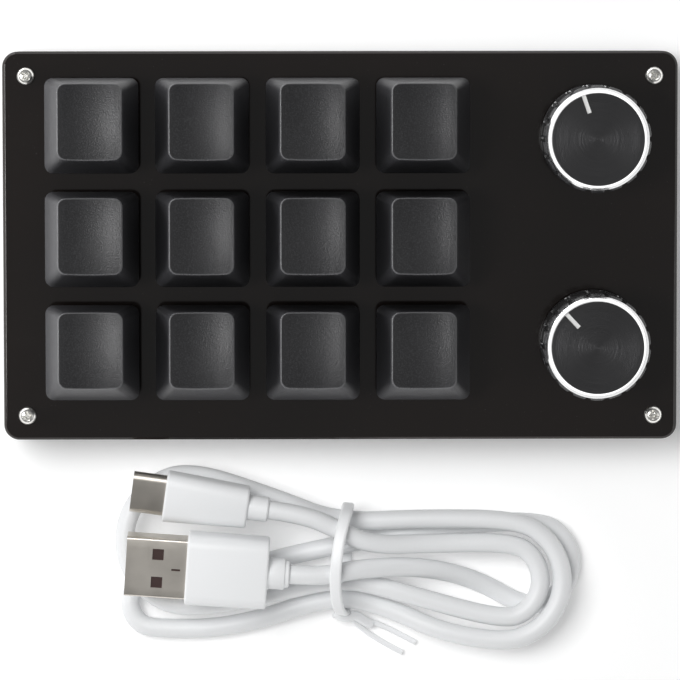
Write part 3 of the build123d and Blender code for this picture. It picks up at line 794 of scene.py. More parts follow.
@dataclass
class Maker:
    """Turns shapes into named pieces of the scene."""

    scene: bpy.types.Scene
    merged_below: float = math.radians(1.0)
    eased_above: float = math.radians(40.0)

    def piece(
        self,
        shape: Shape,
        name: str,
        body: str,
        slot: Slot,
        finishes: Sequence[Finish],
        nodes: Sequence[str] = (),
        sharp: float = 32.0,
        place: Matrix | None = None,
    ) -> Piece:
        """Makes one finished piece.

        Args:
            shape: Its mesh, which is freed.
            name: Its name.
            body: The body that it rides on.
            slot: Its material slot in the record.
            finishes: Its finishes, in the order of its faces' numbers.
            nodes: The frame's nodes that it stands for.
            sharp: Angle in degrees past which an edge stays sharp.
            place: Where the shape goes.

        Returns:
            The piece.
        """
        if place:
            bmesh.ops.transform(shape, matrix=place, verts=shape.verts)
        mesh = bpy.data.meshes.new(name)
        shape.to_mesh(mesh)
        shape.free()
        mesh.shade_smooth()
        mesh.set_sharp_from_angle(angle=math.radians(sharp))
        piece = bpy.data.objects.new(name, mesh)
        self.scene.collection.objects.link(piece)
        return self.dressed(piece, body, slot, finishes, nodes)

    def dressed(
        self,
        piece: Piece,
        body: str,
        slot: Slot,
        finishes: Sequence[Finish],
        nodes: Sequence[str] = (),
    ) -> Piece:
        """Gives a new piece its finishes and its body.

        Args:
            piece: The piece, in the frame's place.
            body: The body that it rides on.
            slot: Its material slot in the record; not used.
            finishes: Its finishes.
            nodes: The frame's nodes that it stands for.

        Returns:
            The same piece.
        """
        for finish in finishes:
            piece.data.materials.append(finish.material())
        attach(piece, body)
        if nodes:
            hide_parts(*nodes)
        log.info("%s rides on %s", piece.name, body)
        return piece

    def eased_node(
        self, node: Piece, name: str, slot: Slot, finish: Finish, radius: float
    ) -> Piece:
        """Makes a fixed piece from a frame node's own shape, with its sharp edges rounded.

        Args:
            node: The frame's node.
            name: The piece's name.
            slot: Its material slot in the record.
            finish: Its finish.
            radius: Offset of the rounded edges.

        Returns:
            The piece.
        """
        shape = bmesh.new()
        shape.from_mesh(node.data)
        bmesh.ops.remove_doubles(shape, verts=shape.verts, dist=MERGE_WITHIN)
        bmesh.ops.dissolve_limit(
            shape, angle_limit=self.merged_below, verts=shape.verts, edges=shape.edges
        )
        sharp = [
            edge
            for edge in shape.edges
            if len(edge.link_faces) == 2 and edge.calc_face_angle() > self.eased_above
        ]
        bevelled(shape, sharp, radius, segments=2)
        return self.piece(shape, name, BASE, slot, [finish], [node.name], sharp=9.0)


# Sub-assemblies


@dataclass(frozen=True)
class Plug:
    """One plug in its moulded grip, with its sizes in millimetres and turns in degrees.

    Its pieces are placed from where the cable enters it, which is at end from the waist.
    """

    name: str
    end: Point
    yaw: float
    roll: float
    neck: Profile
    grip_front: Pair
    grip_rear: float
    grip_length: float
    grip_corner: float
    shell: Pair
    shell_length: float
    shell_corner: float
    inner_name: str
    inner_size: Point
    inner_height: float
    inner_reach: float
    inner_corner: float
    inner_finish: Finish
    windows: Sequence[tuple[float, float, float, float]] = ()
    window_depth: float = 0.2
    shell_wall: float = 0.3
    shell_sunk: float = 2.0
    grip_rim: float = 0.55
    rim_angle: float = math.radians(60)

    def behind(self, reach: float) -> Point:
        """The cable's first point behind the plug.

        Args:
            reach: Its distance in millimetres.

        Returns:
            The point, in millimetres from the waist.
        """
        yaw = math.radians(self.yaw)
        x, y, z = self.end
        return (x + reach * math.cos(yaw), y - reach * math.sin(yaw), z)

    def place(self, waist: Point) -> Matrix:
        """Where the plug's pieces go, with their length along their own Z.

        Args:
            waist: The lead's waist.

        Returns:
            The place as a matrix.
        """
        yaw = math.radians(self.yaw)
        nose = Vector((-math.cos(yaw), math.sin(yaw), 0.0))
        across = Vector(UP).cross(nose)
        frame = Matrix((across, nose.cross(across), nose)).transposed().to_4x4()
        spot = Matrix.Translation(Vector(mm(*self.end)) + Vector(waist))
        return spot @ frame @ Matrix.Rotation(math.radians(self.roll), 4, "Z")

    def neck_top(self) -> float:
        """Height of the neck, where the grip starts."""
        return max(height for _, height in self.neck) * MM

    def grip(self) -> Shape:
        """The moulded grip with its stepped neck.

        Returns:
            The shape.
        """
        (width, thickness), length = mm(*self.grip_front), self.grip_length * MM
        middle = self.neck_top() + length / 2
        shape = block((width, thickness, length), (0.0, 0.0, middle))
        rear = [v for v in shape.verts if v.co.z < middle]
        narrowing = self.grip_rear / self.grip_front[0]
        bmesh.ops.scale(shape, vec=(narrowing, 1.0, 1.0), verts=rear)
        bevelled(shape, upright_edges(shape), self.grip_corner * MM, segments=7)
        rims = [e for e in shape.edges if e.calc_face_angle(0.0) > self.rim_angle]
        bevelled(shape, rims, self.grip_rim * MM, segments=4)
        return joined(shape, turned(self.neck, steps=40))

    def metal(self) -> Shape:
        """The metal shell, open at its nose, with its latch windows and seam.

        Returns:
            The shape.
        """
        front = self.neck_top() + self.grip_length * MM
        bottom, nose = front - self.shell_sunk * MM, front + self.shell_length * MM
        width, thickness = mm(*self.shell)
        shape = block((width, thickness, nose - bottom), (0.0, 0.0, (nose + bottom) / 2))
        bevelled(shape, upright_edges(shape), self.shell_corner * MM, segments=8)
        wall = self.shell_wall * MM
        bmesh.ops.inset_region(
            shape, faces=facing(shape, UP), thickness=wall, use_even_offset=True
        )
        mouth = max(facing(shape, UP), key=lambda face: face.calc_area())
        floor_gap = 0.1 * MM
        sunk(shape, [mouth], (0.0, 0.0, self.shell_sunk * MM + floor_gap - (nose - bottom)))

        def lid() -> list[Face]:
            """Faces of the shell's upper side."""
            return facing(shape, (0.0, 1.0, 0.0), thickness / 2)

        holes = [(x * MM, nose + z * MM, *mm(*half)) for x, z, *half in self.windows]
        for x, z, half_x, half_z in holes:
            for step in (-1, 1):
                bisected(shape, lid(), (x + step * half_x, 0.0, 0.0), (1.0, 0.0, 0.0))
                bisected(shape, lid(), (0.0, 0.0, z + step * half_z), UP)
        for x, z, half_x, half_z in holes:
            cells = []
            for face in lid():
                middle = face.calc_center_median()
                if abs(middle.x - x) < half_x and abs(middle.z - z) < half_z:
                    cells.append(face)
            # The shallow window floors take the second finish, painted shade in place of the
            # shell's dark inside.
            for face in sunk(shape, cells, (0.0, -self.window_depth * MM, 0.0)):
                face.material_index = 1
        return shape

    def inner(self) -> Shape:
        """The block inside the shell that carries the contacts.

        Returns:
            The shape.
        """
        front = self.neck_top() + self.grip_length * MM
        centre = (0.0, self.inner_height * MM, front + self.inner_reach * MM)
        shape = block(mm(*self.inner_size), centre)
        bevelled(shape, shape.edges[:], self.inner_corner * MM, segments=2)
        return shape

    def build(self, maker: Maker, waist: Point) -> list[Piece]:
        """Makes the plug's grip, shell and inner block.

        Args:
            maker: What makes the pieces.
            waist: The lead's waist.

        Returns:
            The pieces.
        """
        metals = [NICKEL, WINDOW_SHADE] if self.windows else [NICKEL]
        shell_node = f"usb_{self.name}_shell"
        return [
            maker.piece(
                shape, f"{self.name}_{part}", BASE, slot, finishes, nodes, place=self.place(waist)
            )
            for part, shape, slot, finishes, nodes in (
                ("grip", self.grip(), Slot.GRIP, [GRIP_VINYL], ["usb_plug_grips"]),
                ("shell", self.metal(), Slot.PLUG_SHELL, metals, [shell_node]),
                (self.inner_name, self.inner(), Slot.PLUG_SHELL, [self.inner_finish], []),
            )
        ]


A_PLUG = Plug(
    name="a_plug",
    end=(-10.5, -2.3, 13.1),
    yaw=4.0,
    roll=-8.0,
    neck=(
        (0.0, 0.0), (2.35, 0.0), (2.6, 0.25), (2.65, 0.8), (3.0, 1.0), (3.1, 1.25), (3.1, 3.9),
        (3.35, 4.2), (0.0, 4.2),
    ),
    grip_front=(14.2, 7.6),
    grip_rear=13.9,
    grip_length=16.0,
    grip_corner=2.4,
    shell=(12.0, 4.5),
    shell_length=11.8,
    shell_corner=0.55,
    inner_name="insert",
    inner_size=(11.2, 1.9, 10.6),
    inner_height=-1.0,
    inner_reach=5.6,
    inner_corner=0.15,
    inner_finish=INSERT_PLASTIC,
    windows=((-2.8, -6.2, 1.1, 1.1), (2.8, -6.2, 1.1, 1.1), (0.1, -9.8, 0.2, 0.85)),
)
C_PLUG = Plug(
    name="c_plug",
    end=(-14.6, 10.3, 12.4),
    yaw=8.0,
    roll=-15.0,
    neck=((0.0, 0.0), (2.2, 0.0), (2.45, 0.3), (2.5, 3.8), (2.7, 4.0), (0.0, 4.0)),
    grip_front=(10.2, 5.6),
    grip_rear=8.2,
    grip_length=16.4,
    grip_corner=2.2,
    shell=(8.34, 2.56),
    shell_length=6.5,
    shell_corner=1.27,
    inner_name="tongue",
    inner_size=(6.6, 0.7, 5.6),
    inner_height=0.0,
    inner_reach=2.9,
    inner_corner=0.1,
    inner_finish=TONGUE_PLASTIC,
)


@dataclass
class Lead:
    """USB lead: cable in its tied hank, two plugs and the tie.

    Its sizes and the points in its tables are in millimetres, from the waist, where the
    tie holds the strands. The waist itself and the cord's length are in metres.
    """

    maker: Maker
    waist: Point = mm(0.5, -62.0, 0.0)
    diameter: float = 3.8
    layer: float = 4.25
    waist_rise: float = 1.9
    length: float = 0.507
    lead_out: float = 7.0
    strap_size: Pair = (1.0, 1.3)
    tail_thickness: float = 1.1
    knot_thickness: float = 2.0

    @staticmethod
    def arc(centre: Pair, radius: float, turn: Pair, height: float, count: int) -> list[Point]:
        """Points round an arc of a loop.

        Args:
            centre: The arc's centre.
            radius: Its radius.
            turn: Its start and end angles in degrees.
            height: Its height.
            count: How many points it takes.

        Returns:
            The points, in millimetres from the waist.
        """
        step = math.radians((turn[1] - turn[0]) / count)
        reach = radius / math.cos(step / 2)
        angles = [math.radians(turn[0]) + (k + 0.5) * step for k in range(count)]
        return [
            (centre[0] + reach * math.cos(a), centre[1] + reach * math.sin(a), height)
            for a in angles
        ]

    def route(self) -> list[Point]:
        """The cable's route from the A plug to the C plug.

        Returns:
            The spline's points in metres, from the waist.
        """
        low = self.diameter / 2
        mid = low + self.layer
        high = mid + self.layer
        waist = low + self.waist_rise
        points = (
            A_PLUG.end,
            A_PLUG.behind(self.lead_out),
            (2.0, -1.5, 11.2),
            (15.0, -1.5, 5.9),
            (26.5, -4.6, low),
            *self.arc((36.6, -1.4), 8.5, (-112, 88), low, 5),
            (24.0, 6.4, low),
            (3.0, 3.2, waist),
            (-12.0, -0.2, low),
            (-25.0, -3.9, low),
            *self.arc((-37.0, -9.2), 5.0, (80, 285), low, 5),
            (-21.0, -14.2, low),
            (-2.0, -7.4, waist),
            (9.0, -10.0, 3.5),
            (19.0, -14.6, 5.75),
            *self.arc((31.3, -4.4), 11.9, (-103, 92), mid, 6),
            (16.0, 7.9, mid),
            (-1.0, 7.1, mid),
            (-13.0, 11.9, mid),
            *self.arc((-29.7, 3.7), 13.2, (73, 282), mid, 6),
            (-14.0, -6.9, mid),
            (0.0, -3.6, mid + 0.2),
            (12.0, -6.9, mid),
            *self.arc((31.3, -4.4), 7.6, (-105, 90), mid, 5),
            (17.0, 3.0, mid + 0.6),
            (5.0, 3.1, high),
            (-1.5, 6.6, 11.9),
            C_PLUG.behind(self.lead_out),
            C_PLUG.end,
        )
        return in_metres(points)

    def line(self, name: str, strands: Sequence[Sequence[Point]], thickness: float) -> Piece:
        """A round line along splines.

        Args:
            name: The object's name.
            strands: Each spline's points, from the waist.
            thickness: The line's thickness.

        Returns:
            The curve's object.
        """
        curve = bpy.data.curves.new(name, "CURVE")
        curve.dimensions = "3D"
        curve.bevel_depth = thickness / 2
        curve.bevel_resolution = 5
        curve.use_fill_caps = True
        for points in strands:
            spline = curve.splines.new("NURBS")
            spline.points.add(len(points) - 1)
            for control, point in zip(spline.points, points):
                control.co = (*(Vector(point) + Vector(self.waist)), 1.0)
            spline.order_u = 3
            spline.use_endpoint_u = True
            spline.resolution_u = 10
            spline.use_smooth = True
        made = bpy.data.objects.new(name, curve)
        self.maker.scene.collection.objects.link(made)
        return made

    def strap(self) -> Piece:
        """The flat strap round the strands, as a closed line that is wide along X.

        Returns:
            The curve's object.
        """
        ring = (
            (1.0, 10.8, 6.0), (0.8, 8.6, 0.6), (0.7, -3.0, 0.6), (0.6, -10.0, 0.8),
            (0.2, -11.4, 4.2), (-0.8, -9.8, 9.6), (-1.5, -6.2, 13.8), (-1.6, -2.0, 15.7),
            (-0.9, 4.0, 15.4), (0.3, 8.8, 13.6), (1.1, 10.6, 9.8),
        )
        thickness, width = mm(*self.strap_size)
        strap = self.line("tie_strap", [in_metres(ring)], thickness)
        strap.data.extrude = width / 2
        spline = strap.data.splines[0]
        spline.use_endpoint_u = False
        spline.use_cyclic_u = True
        for control in spline.points:
            control.tilt = math.radians(90)
        return strap

    def tie(self) -> list[Piece]:
        """The strap, and its twist with two loose tails.

        Returns:
            The pieces.
        """
        tails = (
            ((0.6, -11.0, 3.4), (3.4, -12.4, 1.6), (8.6, -14.2, 0.75), (14.4, -17.4, 0.65)),
            ((0.6, -11.0, 3.4), (2.2, -13.2, 1.3), (6.4, -16.6, 0.65), (11.8, -19.4, 0.65)),
        )
        twist = (
            (-1.6, -11.2, 3.0), (0.2, -12.4, 2.6), (2.4, -11.4, 3.2), (4.6, -13.2, 1.8),
            (5.6, -13.6, 1.3),
        )
        made = (
            self.strap(),
            self.line("tie_tails", [in_metres(tail) for tail in tails], self.tail_thickness * MM),
            self.line("tie_knot", [in_metres(twist)], self.knot_thickness * MM),
        )
        return [
            self.maker.dressed(piece, BASE, Slot.TIE, [TIE_VINYL], ["cable_tie"]) for piece in made
        ]

    def build(self) -> list[Piece]:
        """Returns:
            All of the pieces.
        """
        cable = self.line("lead_cable", [self.route()], self.diameter * MM)
        self.maker.dressed(cable, BASE, Slot.CABLE, [CABLE_VINYL], ["usb_cable"])
        plugs = [piece for plug in (A_PLUG, C_PLUG) for piece in plug.build(self.maker, self.waist)]
        pieces = [*plugs, *self.tie()]
        tuple(Vector(mm(*A_PLUG.end)) + Vector(self.waist))
        return [cable, *pieces]


@dataclass
class Keys:
    """Twelve keycaps over their switches, and the springs in these."""

    maker: Maker
    rows: int = 3
    columns: int = 4
    first: Pair = mm(-47.95, 23.5)
    pitch: Pair = mm(21.3, 21.9)
    base: Pair = mm(18.1, 18.4)
    face: Pair = mm(12.4, 14.4)
    shift: float = 1.0 * MM
    bottom: float = 20.0 * MM
    height: float = 9.0 * MM
    corner: float = 1.6 * MM
    dish: float = 0.7 * MM
    dish_strips: int = 15
    rim: float = 0.22 * MM
    rim_normal: float = 0.7
    wall: float = 1.2 * MM
    roof: float = 1.4 * MM
    boss_radius: float = 2.8 * MM
    stem_top: float = 20.65 * MM
    stem_cross: Sequence[Pair] = (mm(2.05, 0.6), mm(0.7, 2.05))
    stem_cross_depth: float = 3.65 * MM
    coil_ends: Pair = mm(10.2, 15.7)
    coil_seat: float = 10.0 * MM
    coil_radius: float = 1.85 * MM
    coil_wire: float = 0.14 * MM
    coil_turns: int = 6
    coil_steps: int = 20
    wire_sides: int = 6
    coil_left: float = 0.31

    def dished(self, point: Vector) -> Vector:
        """Where a point of the flat face lies once the face is dished.

        Args:
            point: The point on the face's edge.

        Returns:
            The lowered point, still in its sloping side.
        """
        sink = self.dish * (1 - min(1.0, abs(point.x) / (self.face[0] / 2)) ** 2)
        share = sink / self.height
        foot_x = point.x * self.base[0] / self.face[0]
        foot_y = (point.y - self.shift) * self.base[1] / self.face[1]
        x = point.x + (foot_x - point.x) * share
        y = point.y + (foot_y - point.y) * share
        return Vector((x, y, point.z - sink))

    def outside(self) -> Shape:
        """A solid cap about its own middle: sloping sides, dished face and thin rim.

        Returns:
            The shape.
        """
        top = self.bottom + self.height
        shape = block((*self.base, self.height), (0.0, 0.0, self.bottom + self.height / 2))
        lid = [v for v in shape.verts if v.co.z > top - HAIR]
        taper = (self.face[0] / self.base[0], self.face[1] / self.base[1], 1.0)
        bmesh.ops.scale(shape, vec=taper, verts=lid)
        bmesh.ops.translate(shape, vec=(0.0, self.shift, 0.0), verts=lid)
        bevelled(shape, upright_edges(shape), self.corner, segments=7)
        for k in range(1, self.dish_strips):
            x = self.face[0] * (k / self.dish_strips - 0.5)
            bisected(shape, facing(shape, UP), (x, 0.0, 0.0), (1.0, 0.0, 0.0))
        for point in shape.verts:
            if point.co.z > top - HAIR:
                point.co = self.dished(point.co)
        shape.normal_update()
        rim = [
            edge
            for edge in shape.edges
            if sorted(f.normal.z > self.rim_normal for f in edge.link_faces) == [False, True]
        ]
        # The rim's faces take the paler second finish, which paints the rim's highlight.
        for face in bevelled(shape, rim, self.rim, segments=3):
            face.material_index = 1
        return shape

    def cap(self) -> Shape:
        """One cap about its own middle, hollow below and with its boss.

        Returns:
            The shape.
        """
        shape = self.outside()
        bmesh.ops.inset_region(
            shape, faces=facing(shape, DOWN), thickness=self.wall, use_even_offset=True
        )
        foot = max(facing(shape, DOWN), key=lambda face: face.calc_area())
        ceiling = self.bottom + self.height - self.dish - self.roof
        inner = corners_of(sunk(shape, [foot], (0.0, 0.0, ceiling - self.bottom)))
        share = (ceiling - self.bottom) / self.height
        taper = [
            1 - (base - face) * share / (base - 2 * self.wall)
            for base, face in zip(self.base, self.face)
        ]
        bmesh.ops.scale(shape, vec=(*taper, 1.0), verts=inner)
        bmesh.ops.translate(shape, vec=(0.0, self.shift * share, 0.0), verts=inner)
        return joined(shape, self.boss(ceiling))

    def boss(self, ceiling: float) -> Shape:
        """The round boss inside a cap, with the slot for the stem's cross.

        Args:
            ceiling: Height of the cap's inner roof.

        Returns:
            The shape.
        """
        overlap = 0.3 * MM
        length = ceiling + overlap - self.stem_top
        shape = bmesh.new()
        bmesh.ops.create_cone(
            shape,
            cap_ends=True,
            segments=32,
            radius1=self.boss_radius,
            radius2=self.boss_radius,
            depth=length,
        )
        middle = (0.0, 0.0, self.stem_top + length / 2)
        bmesh.ops.translate(shape, vec=middle, verts=shape.verts)
        cross_recess(shape, self.stem_top, self.stem_cross, -self.stem_cross_depth)
        return shape

    def coil(self) -> Shape:
        """One return spring about its own axis, as a wound wire.

        Returns:
            The shape.
        """
        shape = bmesh.new()
        low, high = self.coil_ends
        steps = self.coil_turns * self.coil_steps
        ring = bmesh.ops.create_circle(shape, segments=self.wire_sides, radius=self.coil_wire)
        points = ring["verts"]
        bmesh.ops.rotate(shape, matrix=Matrix.Rotation(math.radians(90), 3, "X"), verts=points)
        bmesh.ops.translate(shape, vec=(self.coil_radius, 0.0, low), verts=points)
        bmesh.ops.spin(
            shape,
            geom=[*points, *shape.edges],
            axis=UP,
            dvec=(0.0, 0.0, (high - low) / steps),
            angle=2 * math.pi * self.coil_turns,
            steps=steps,
        )
        closed(shape, self.wire_sides)
        return shape

    def build(self) -> None:
        """Makes the caps, and the springs."""
        for row in range(self.rows):
            for column in range(self.columns):
                tag = f"r{row + 1}c{column + 1}"
                x = self.first[0] + column * self.pitch[0]
                y = self.first[1] - row * self.pitch[1]
                place = Matrix.Translation((x, y, 0.0))
                self.maker.piece(
                    self.cap(),
                    f"cap_{tag}",
                    f"key_{tag}",
                    Slot.KEYCAP,
                    [KEYCAP_PLASTIC, KEYCAP_RIM_HIGHLIGHT],
                    [f"keycap_{tag}"],
                    sharp=50.0,
                    place=place,
                )
                spring = self.maker.piece(
                    self.coil(),
                    f"coil_{tag}",
                    BASE,
                    Slot.SPRING,
                    [SPRING_STEEL],
                    [f"key_spring_{tag}"],
                    place=place,
                )
                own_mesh(spring)


@dataclass
class Knobs:
    """Two turning knobs: fluted bodies with turned caps.

    The profiles are in millimetres, from the body's foot and down from the cap's face.
    """

    maker: Maker
    x: float = 49.1 * MM
    spots: Sequence[tuple[str, float, float]] = (
        ("rear", 21.0 * MM, 19.0),
        ("front", -18.8 * MM, 43.0),
    )
    bottom: float = 15.2 * MM
    top: float = 30.2 * MM
    body_profile: Profile = (
        (0.0, 12.4), (3.05, 12.4), (3.05, 6.8), (9.1, 6.8), (9.1, 0.0), (10.1, 0.0),
        (10.3, 0.12), (10.35, 0.3), (10.35, 1.1), (10.31, 1.25), (10.28, 1.3), (10.27, 1.45),
        (10.28, 6.45), (10.3, 12.85), (10.24, 12.95), (9.86, 13.4), (7.1, 13.4), (7.1, 12.55),
        (0.0, 12.55),
    )
    skirt: float = 1.45 * MM
    flutes: int = 18
    steps_per_flute: int = 12
    flutes_outside: float = 9.6 * MM
    flute_depth: float = 0.45 * MM
    flute_shares: Sequence[float] = (1.0, 0.92, 0.12)
    rib_flatness: float = 0.0035
    cap_profile: Profile = (
        (0.0, -2.38), (7.0, -2.38), (7.0, -1.58), (9.72, -1.58), (9.8, -1.48), (9.8, -0.85),
        (9.77, -0.8), (8.88, -0.02), (8.85, 0.0),
    )
    cap_steps: int = 144
    face_radius: float = 8.85 * MM
    cut_depth: float = 0.96 * MM
    pointer_inner: float = 5.3 * MM
    pointer_half: float = 0.4 * MM
    pointer_depth: float = 0.04 * MM
    face_colour: Colour = (0.058, 0.058, 0.06)
    face_roughness: float = 0.4

    def body(self) -> Shape:
        """The fluted body about its own axis, hollow below, with its bore and the cap's seat.

        Returns:
            The shape.
        """
        count = self.flutes * self.steps_per_flute
        half = self.steps_per_flute // 2
        shape = turned(self.body_profile, count, self.bottom)
        for point in shape.verts:
            radius = math.hypot(point.co.x, point.co.y)
            if radius < self.flutes_outside or point.co.z < self.bottom + self.skirt - HAIR:
                continue
            turn = math.atan2(point.co.y, point.co.x) / (2 * math.pi) * count
            away = abs((round(turn) + half) % self.steps_per_flute - half)
            share = self.flute_shares[away] if away < len(self.flute_shares) else 0.0
            rib = 1 - self.rib_flatness * (1 - ((away - half) / half) ** 2)
            factor = (radius - share * self.flute_depth) / radius * rib
            point.co.x *= factor
            point.co.y *= factor
        return shape

    def cap(self, pointer_turn: float) -> Shape:
        """The turned cap about its own axis, with its cut rim and pointer line.

        Args:
            pointer_turn: The pointer's turn from the back, in degrees.

        Returns:
            The shape, whose second finish is the cut metal and third the pointer's white paint, a
            painted highlight for the bright cut line.
        """
        shape = turned(self.cap_profile, self.cap_steps, self.top)
        closed(shape)
        turn = math.radians(pointer_turn)
        along = Vector((-math.sin(turn), math.cos(turn), 0.0))
        across = Vector((along.y, -along.x, 0.0))
        for side in (-1, 1):
            edge = tuple(across * side * self.pointer_half)
            bisected(shape, facing(shape, UP, self.top), edge, tuple(across))
        inner = tuple(along * self.pointer_inner)
        bisected(shape, facing(shape, UP, self.top), inner, tuple(along))
        groove = []
        for face in facing(shape, UP, self.top):
            middle = face.calc_center_median()
            centred = abs(middle.dot(across)) < 0.1 * self.pointer_half
            if centred and middle.dot(along) > self.pointer_inner:
                groove.append(face)
        floor = sunk(shape, groove, (0.0, 0.0, -self.pointer_depth))
        shape.normal_update()
        for face in shape.faces:
            middle = face.calc_center_median()
            outside = math.hypot(middle.x, middle.y) > self.face_radius
            cut = outside and middle.z > self.top - self.cut_depth
            # The pointer's floor takes the third finish, white paint that paints the cut line's
            # highlight.
            face.material_index = 2 if face in floor else int(cut)
        return shape

    def build(self) -> list[Piece]:
        """Makes both knobs.

        Returns:
            Their fluted bodies.
        """
        bodies = []
        for tag, y, turn in self.spots:
            place = Matrix.Translation((self.x, y, 0.0))
            rider = f"knob_{tag}"
            body = self.maker.piece(
                self.body(),
                f"fluted_body_{tag}",
                rider,
                Slot.KNOB,
                [KNOB_PLASTIC],
                [f"knob_body_{tag}"],
                sharp=40.0,
                place=place,
            )
            face = Turned(
                f"turned_face_{tag}", self.face_colour, self.face_roughness, centre=(self.x, y)
            )
            self.maker.piece(
                self.cap(turn),
                f"turned_cap_{tag}",
                rider,
                Slot.KNOB_CAP,
                [face, CUT_ALUMINIUM, POINTER_HIGHLIGHT],
                [f"knob_cap_{tag}"],
                sharp=25.0,
                place=place,
            )
            bodies.append(body)
        return bodies


@dataclass
class Structure:
    """Plate, case, screws and feet.

    The profiles are in millimetres, from the plate's upper face and from the table.
    """

    maker: Maker
    nodes: dict[str, Piece]
    screws: Pair = mm(60.9, 33.0)
    feet: Pair = mm(54.0, 27.0)
    first_turn: float = 12.0
    turn_between: float = 37.0
    plate_top: float = 14.0 * MM
    screw_tip: Profile = ((0.0, -8.0), (0.5, -8.0))
    thread_start: float = -7.6
    thread_pitch: float = 0.4
    thread_turns: int = 15
    thread_radii: Pair = (0.85, 1.0)
    screw_head: Profile = (
        (0.85, -1.2), (1.0, 0.0), (1.65, 0.0), (1.74, 0.12), (1.75, 0.35), (1.69, 0.56),
        (1.56, 0.78), (1.36, 0.98), (1.16, 1.12), (0.98, 1.2),
    )
    recess: Sequence[Pair] = (mm(0.95, 0.3), mm(0.3, 0.95))
    recess_depth: float = 0.55 * MM
    recess_taper: float = 0.45
    foot_profile: Profile = (
        (0.0, 0.0), (3.6, 0.0), (3.85, 0.1), (4.0, 0.4), (4.0, 1.5), (0.0, 1.5),
    )

    def screw(self) -> Shape:
        """One pan-head screw about its own axis, with its cross recess and threaded shank.

        Returns:
            The shape.
        """
        root, crest = self.thread_radii
        profile = list(self.screw_tip)
        for turn in range(self.thread_turns):
            height = self.thread_start + turn * self.thread_pitch
            profile += [(root, height), (crest, height + self.thread_pitch / 2)]
        shape = turned([*profile, *self.screw_head], steps=40, base=self.plate_top)
        closed(shape)
        top = self.plate_top + self.screw_head[-1][1] * MM
        floor = cross_recess(shape, top, self.recess, self.recess_depth)
        taper = (self.recess_taper, self.recess_taper, 1.0)
        bmesh.ops.scale(shape, vec=taper, verts=corners_of(floor))
        return shape

    def foot(self) -> Shape:
        """One rubber foot about its own axis."""
        return turned(self.foot_profile, steps=48)

    def spread(self, make: Callable[[], Shape], spots: Pair) -> Shape:
        """Four of a shape, one at each corner, each turned its own way.

        Args:
            make: Makes one shape.
            spots: Distance of the corners from the middle.

        Returns:
            The four as one mesh.
        """
        group = bmesh.new()
        for number, (i, j) in enumerate(((-1, -1), (-1, 1), (1, -1), (1, 1))):
            one = make()
            turn = math.radians(self.turn_between * number + self.first_turn)
            bmesh.ops.rotate(one, matrix=Matrix.Rotation(turn, 3, "Z"), verts=one.verts)
            bmesh.ops.translate(one, vec=(i * spots[0], j * spots[1], 0.0), verts=one.verts)
            joined(group, one)
        return group

    def build(self) -> None:
        """Makes the outer pieces."""
        for node, name, slot, finish, radius in (
            ("top_plate", "cover_plate", Slot.PLATE, PLATE_SHEET, 0.08),
            ("lower_case", "case_tray", Slot.CASE, CASE_PLASTIC, 0.15),
            ("switch_upper_housings", "switch_covers", Slot.HOUSING, HOUSING_PLASTIC, 0.2),
        ):
            self.maker.eased_node(self.nodes[node], name, slot, finish, radius * MM)
        for node, name, slot, finish, make, spots in (
            ("plate_screws", "corner_screws", Slot.SCREWS, SCREW_STEEL, self.screw, self.screws),
            ("rubber_feet", "feet_pads", Slot.FEET, FOOT_RUBBER, self.foot, self.feet),
        ):
            self.maker.piece(self.spread(make, spots), name, BASE, slot, [finish], [node])


CARRIED_FINISHES: dict[str, Finish] = {
    "circuit_board": BOARD_MASK,
    "usb_receptacle": NICKEL,
    "controller_chip": CHIP_RESIN,
    "switch_lower_housings": HOUSING_PLASTIC,
    "switch_contact_pins": CONTACT_METAL,
    "encoder_bodies": SHAFT_METAL,
    "key_stem": STEM_PLASTIC,
    "encoder_rotor": CHIP_RESIN,
    "encoder_shaft": SHAFT_METAL,
}


@dataclass
class CarriedNodes:
    """Frame nodes that keep their own shape and get a better finish."""

    nodes: dict[str, Piece]

    def build(self) -> None:
        """Dresses every node that no piece stands for."""
        for name, node in self.nodes.items():
            found = (f for start, f in CARRIED_FINISHES.items() if name.startswith(start))
            finish = next(found, None)
            if node.hide_render or finish is None:
                continue
            node.data.materials.clear()
            node.data.materials.append(finish.material())
            log.info("%s keeps its shape, in %s", name, finish.name)


@dataclass(frozen=True)
class Softbox:
    """A soft light that faces the middle, at angles in degrees and a power in watts."""

    name: str
    turn: float
    lift: float
    size: Pair
    power: float
    mirrored: bool = True
    lighting: bool = True


WALL: Pair = (0.6, 0.16)
GLOW: Pair = (1.0, 0.3)
KEYPAD_LIGHTS = (
    Softbox("left_box", 176, 6, WALL, 15.0, mirrored=False),
    Softbox("front_box", 270, 6, WALL, 4.6, mirrored=False),
    Softbox("back_box", 100, 8, WALL, 3.4, mirrored=False),
    Softbox("rim_box", 132, 4, (0.7, 0.08), 1.2),
    Softbox("left_high", 180, 64, (0.2, 0.2), 1.9),
    Softbox("right_high", 342, 56, (0.2, 0.14), 0.25),
)
KNOB_GLOWS = (
    Softbox("back_glow", 105, 14, GLOW, 12.0, lighting=False),
    Softbox("left_glow", 172, 14, GLOW, 10.0, lighting=False),
    Softbox("right_glow", 10, 14, GLOW, 8.0, lighting=False),
)
LEAD_LIGHTS = (Softbox("lead_light", 150, 64, (0.5, 0.5), 5.6),)


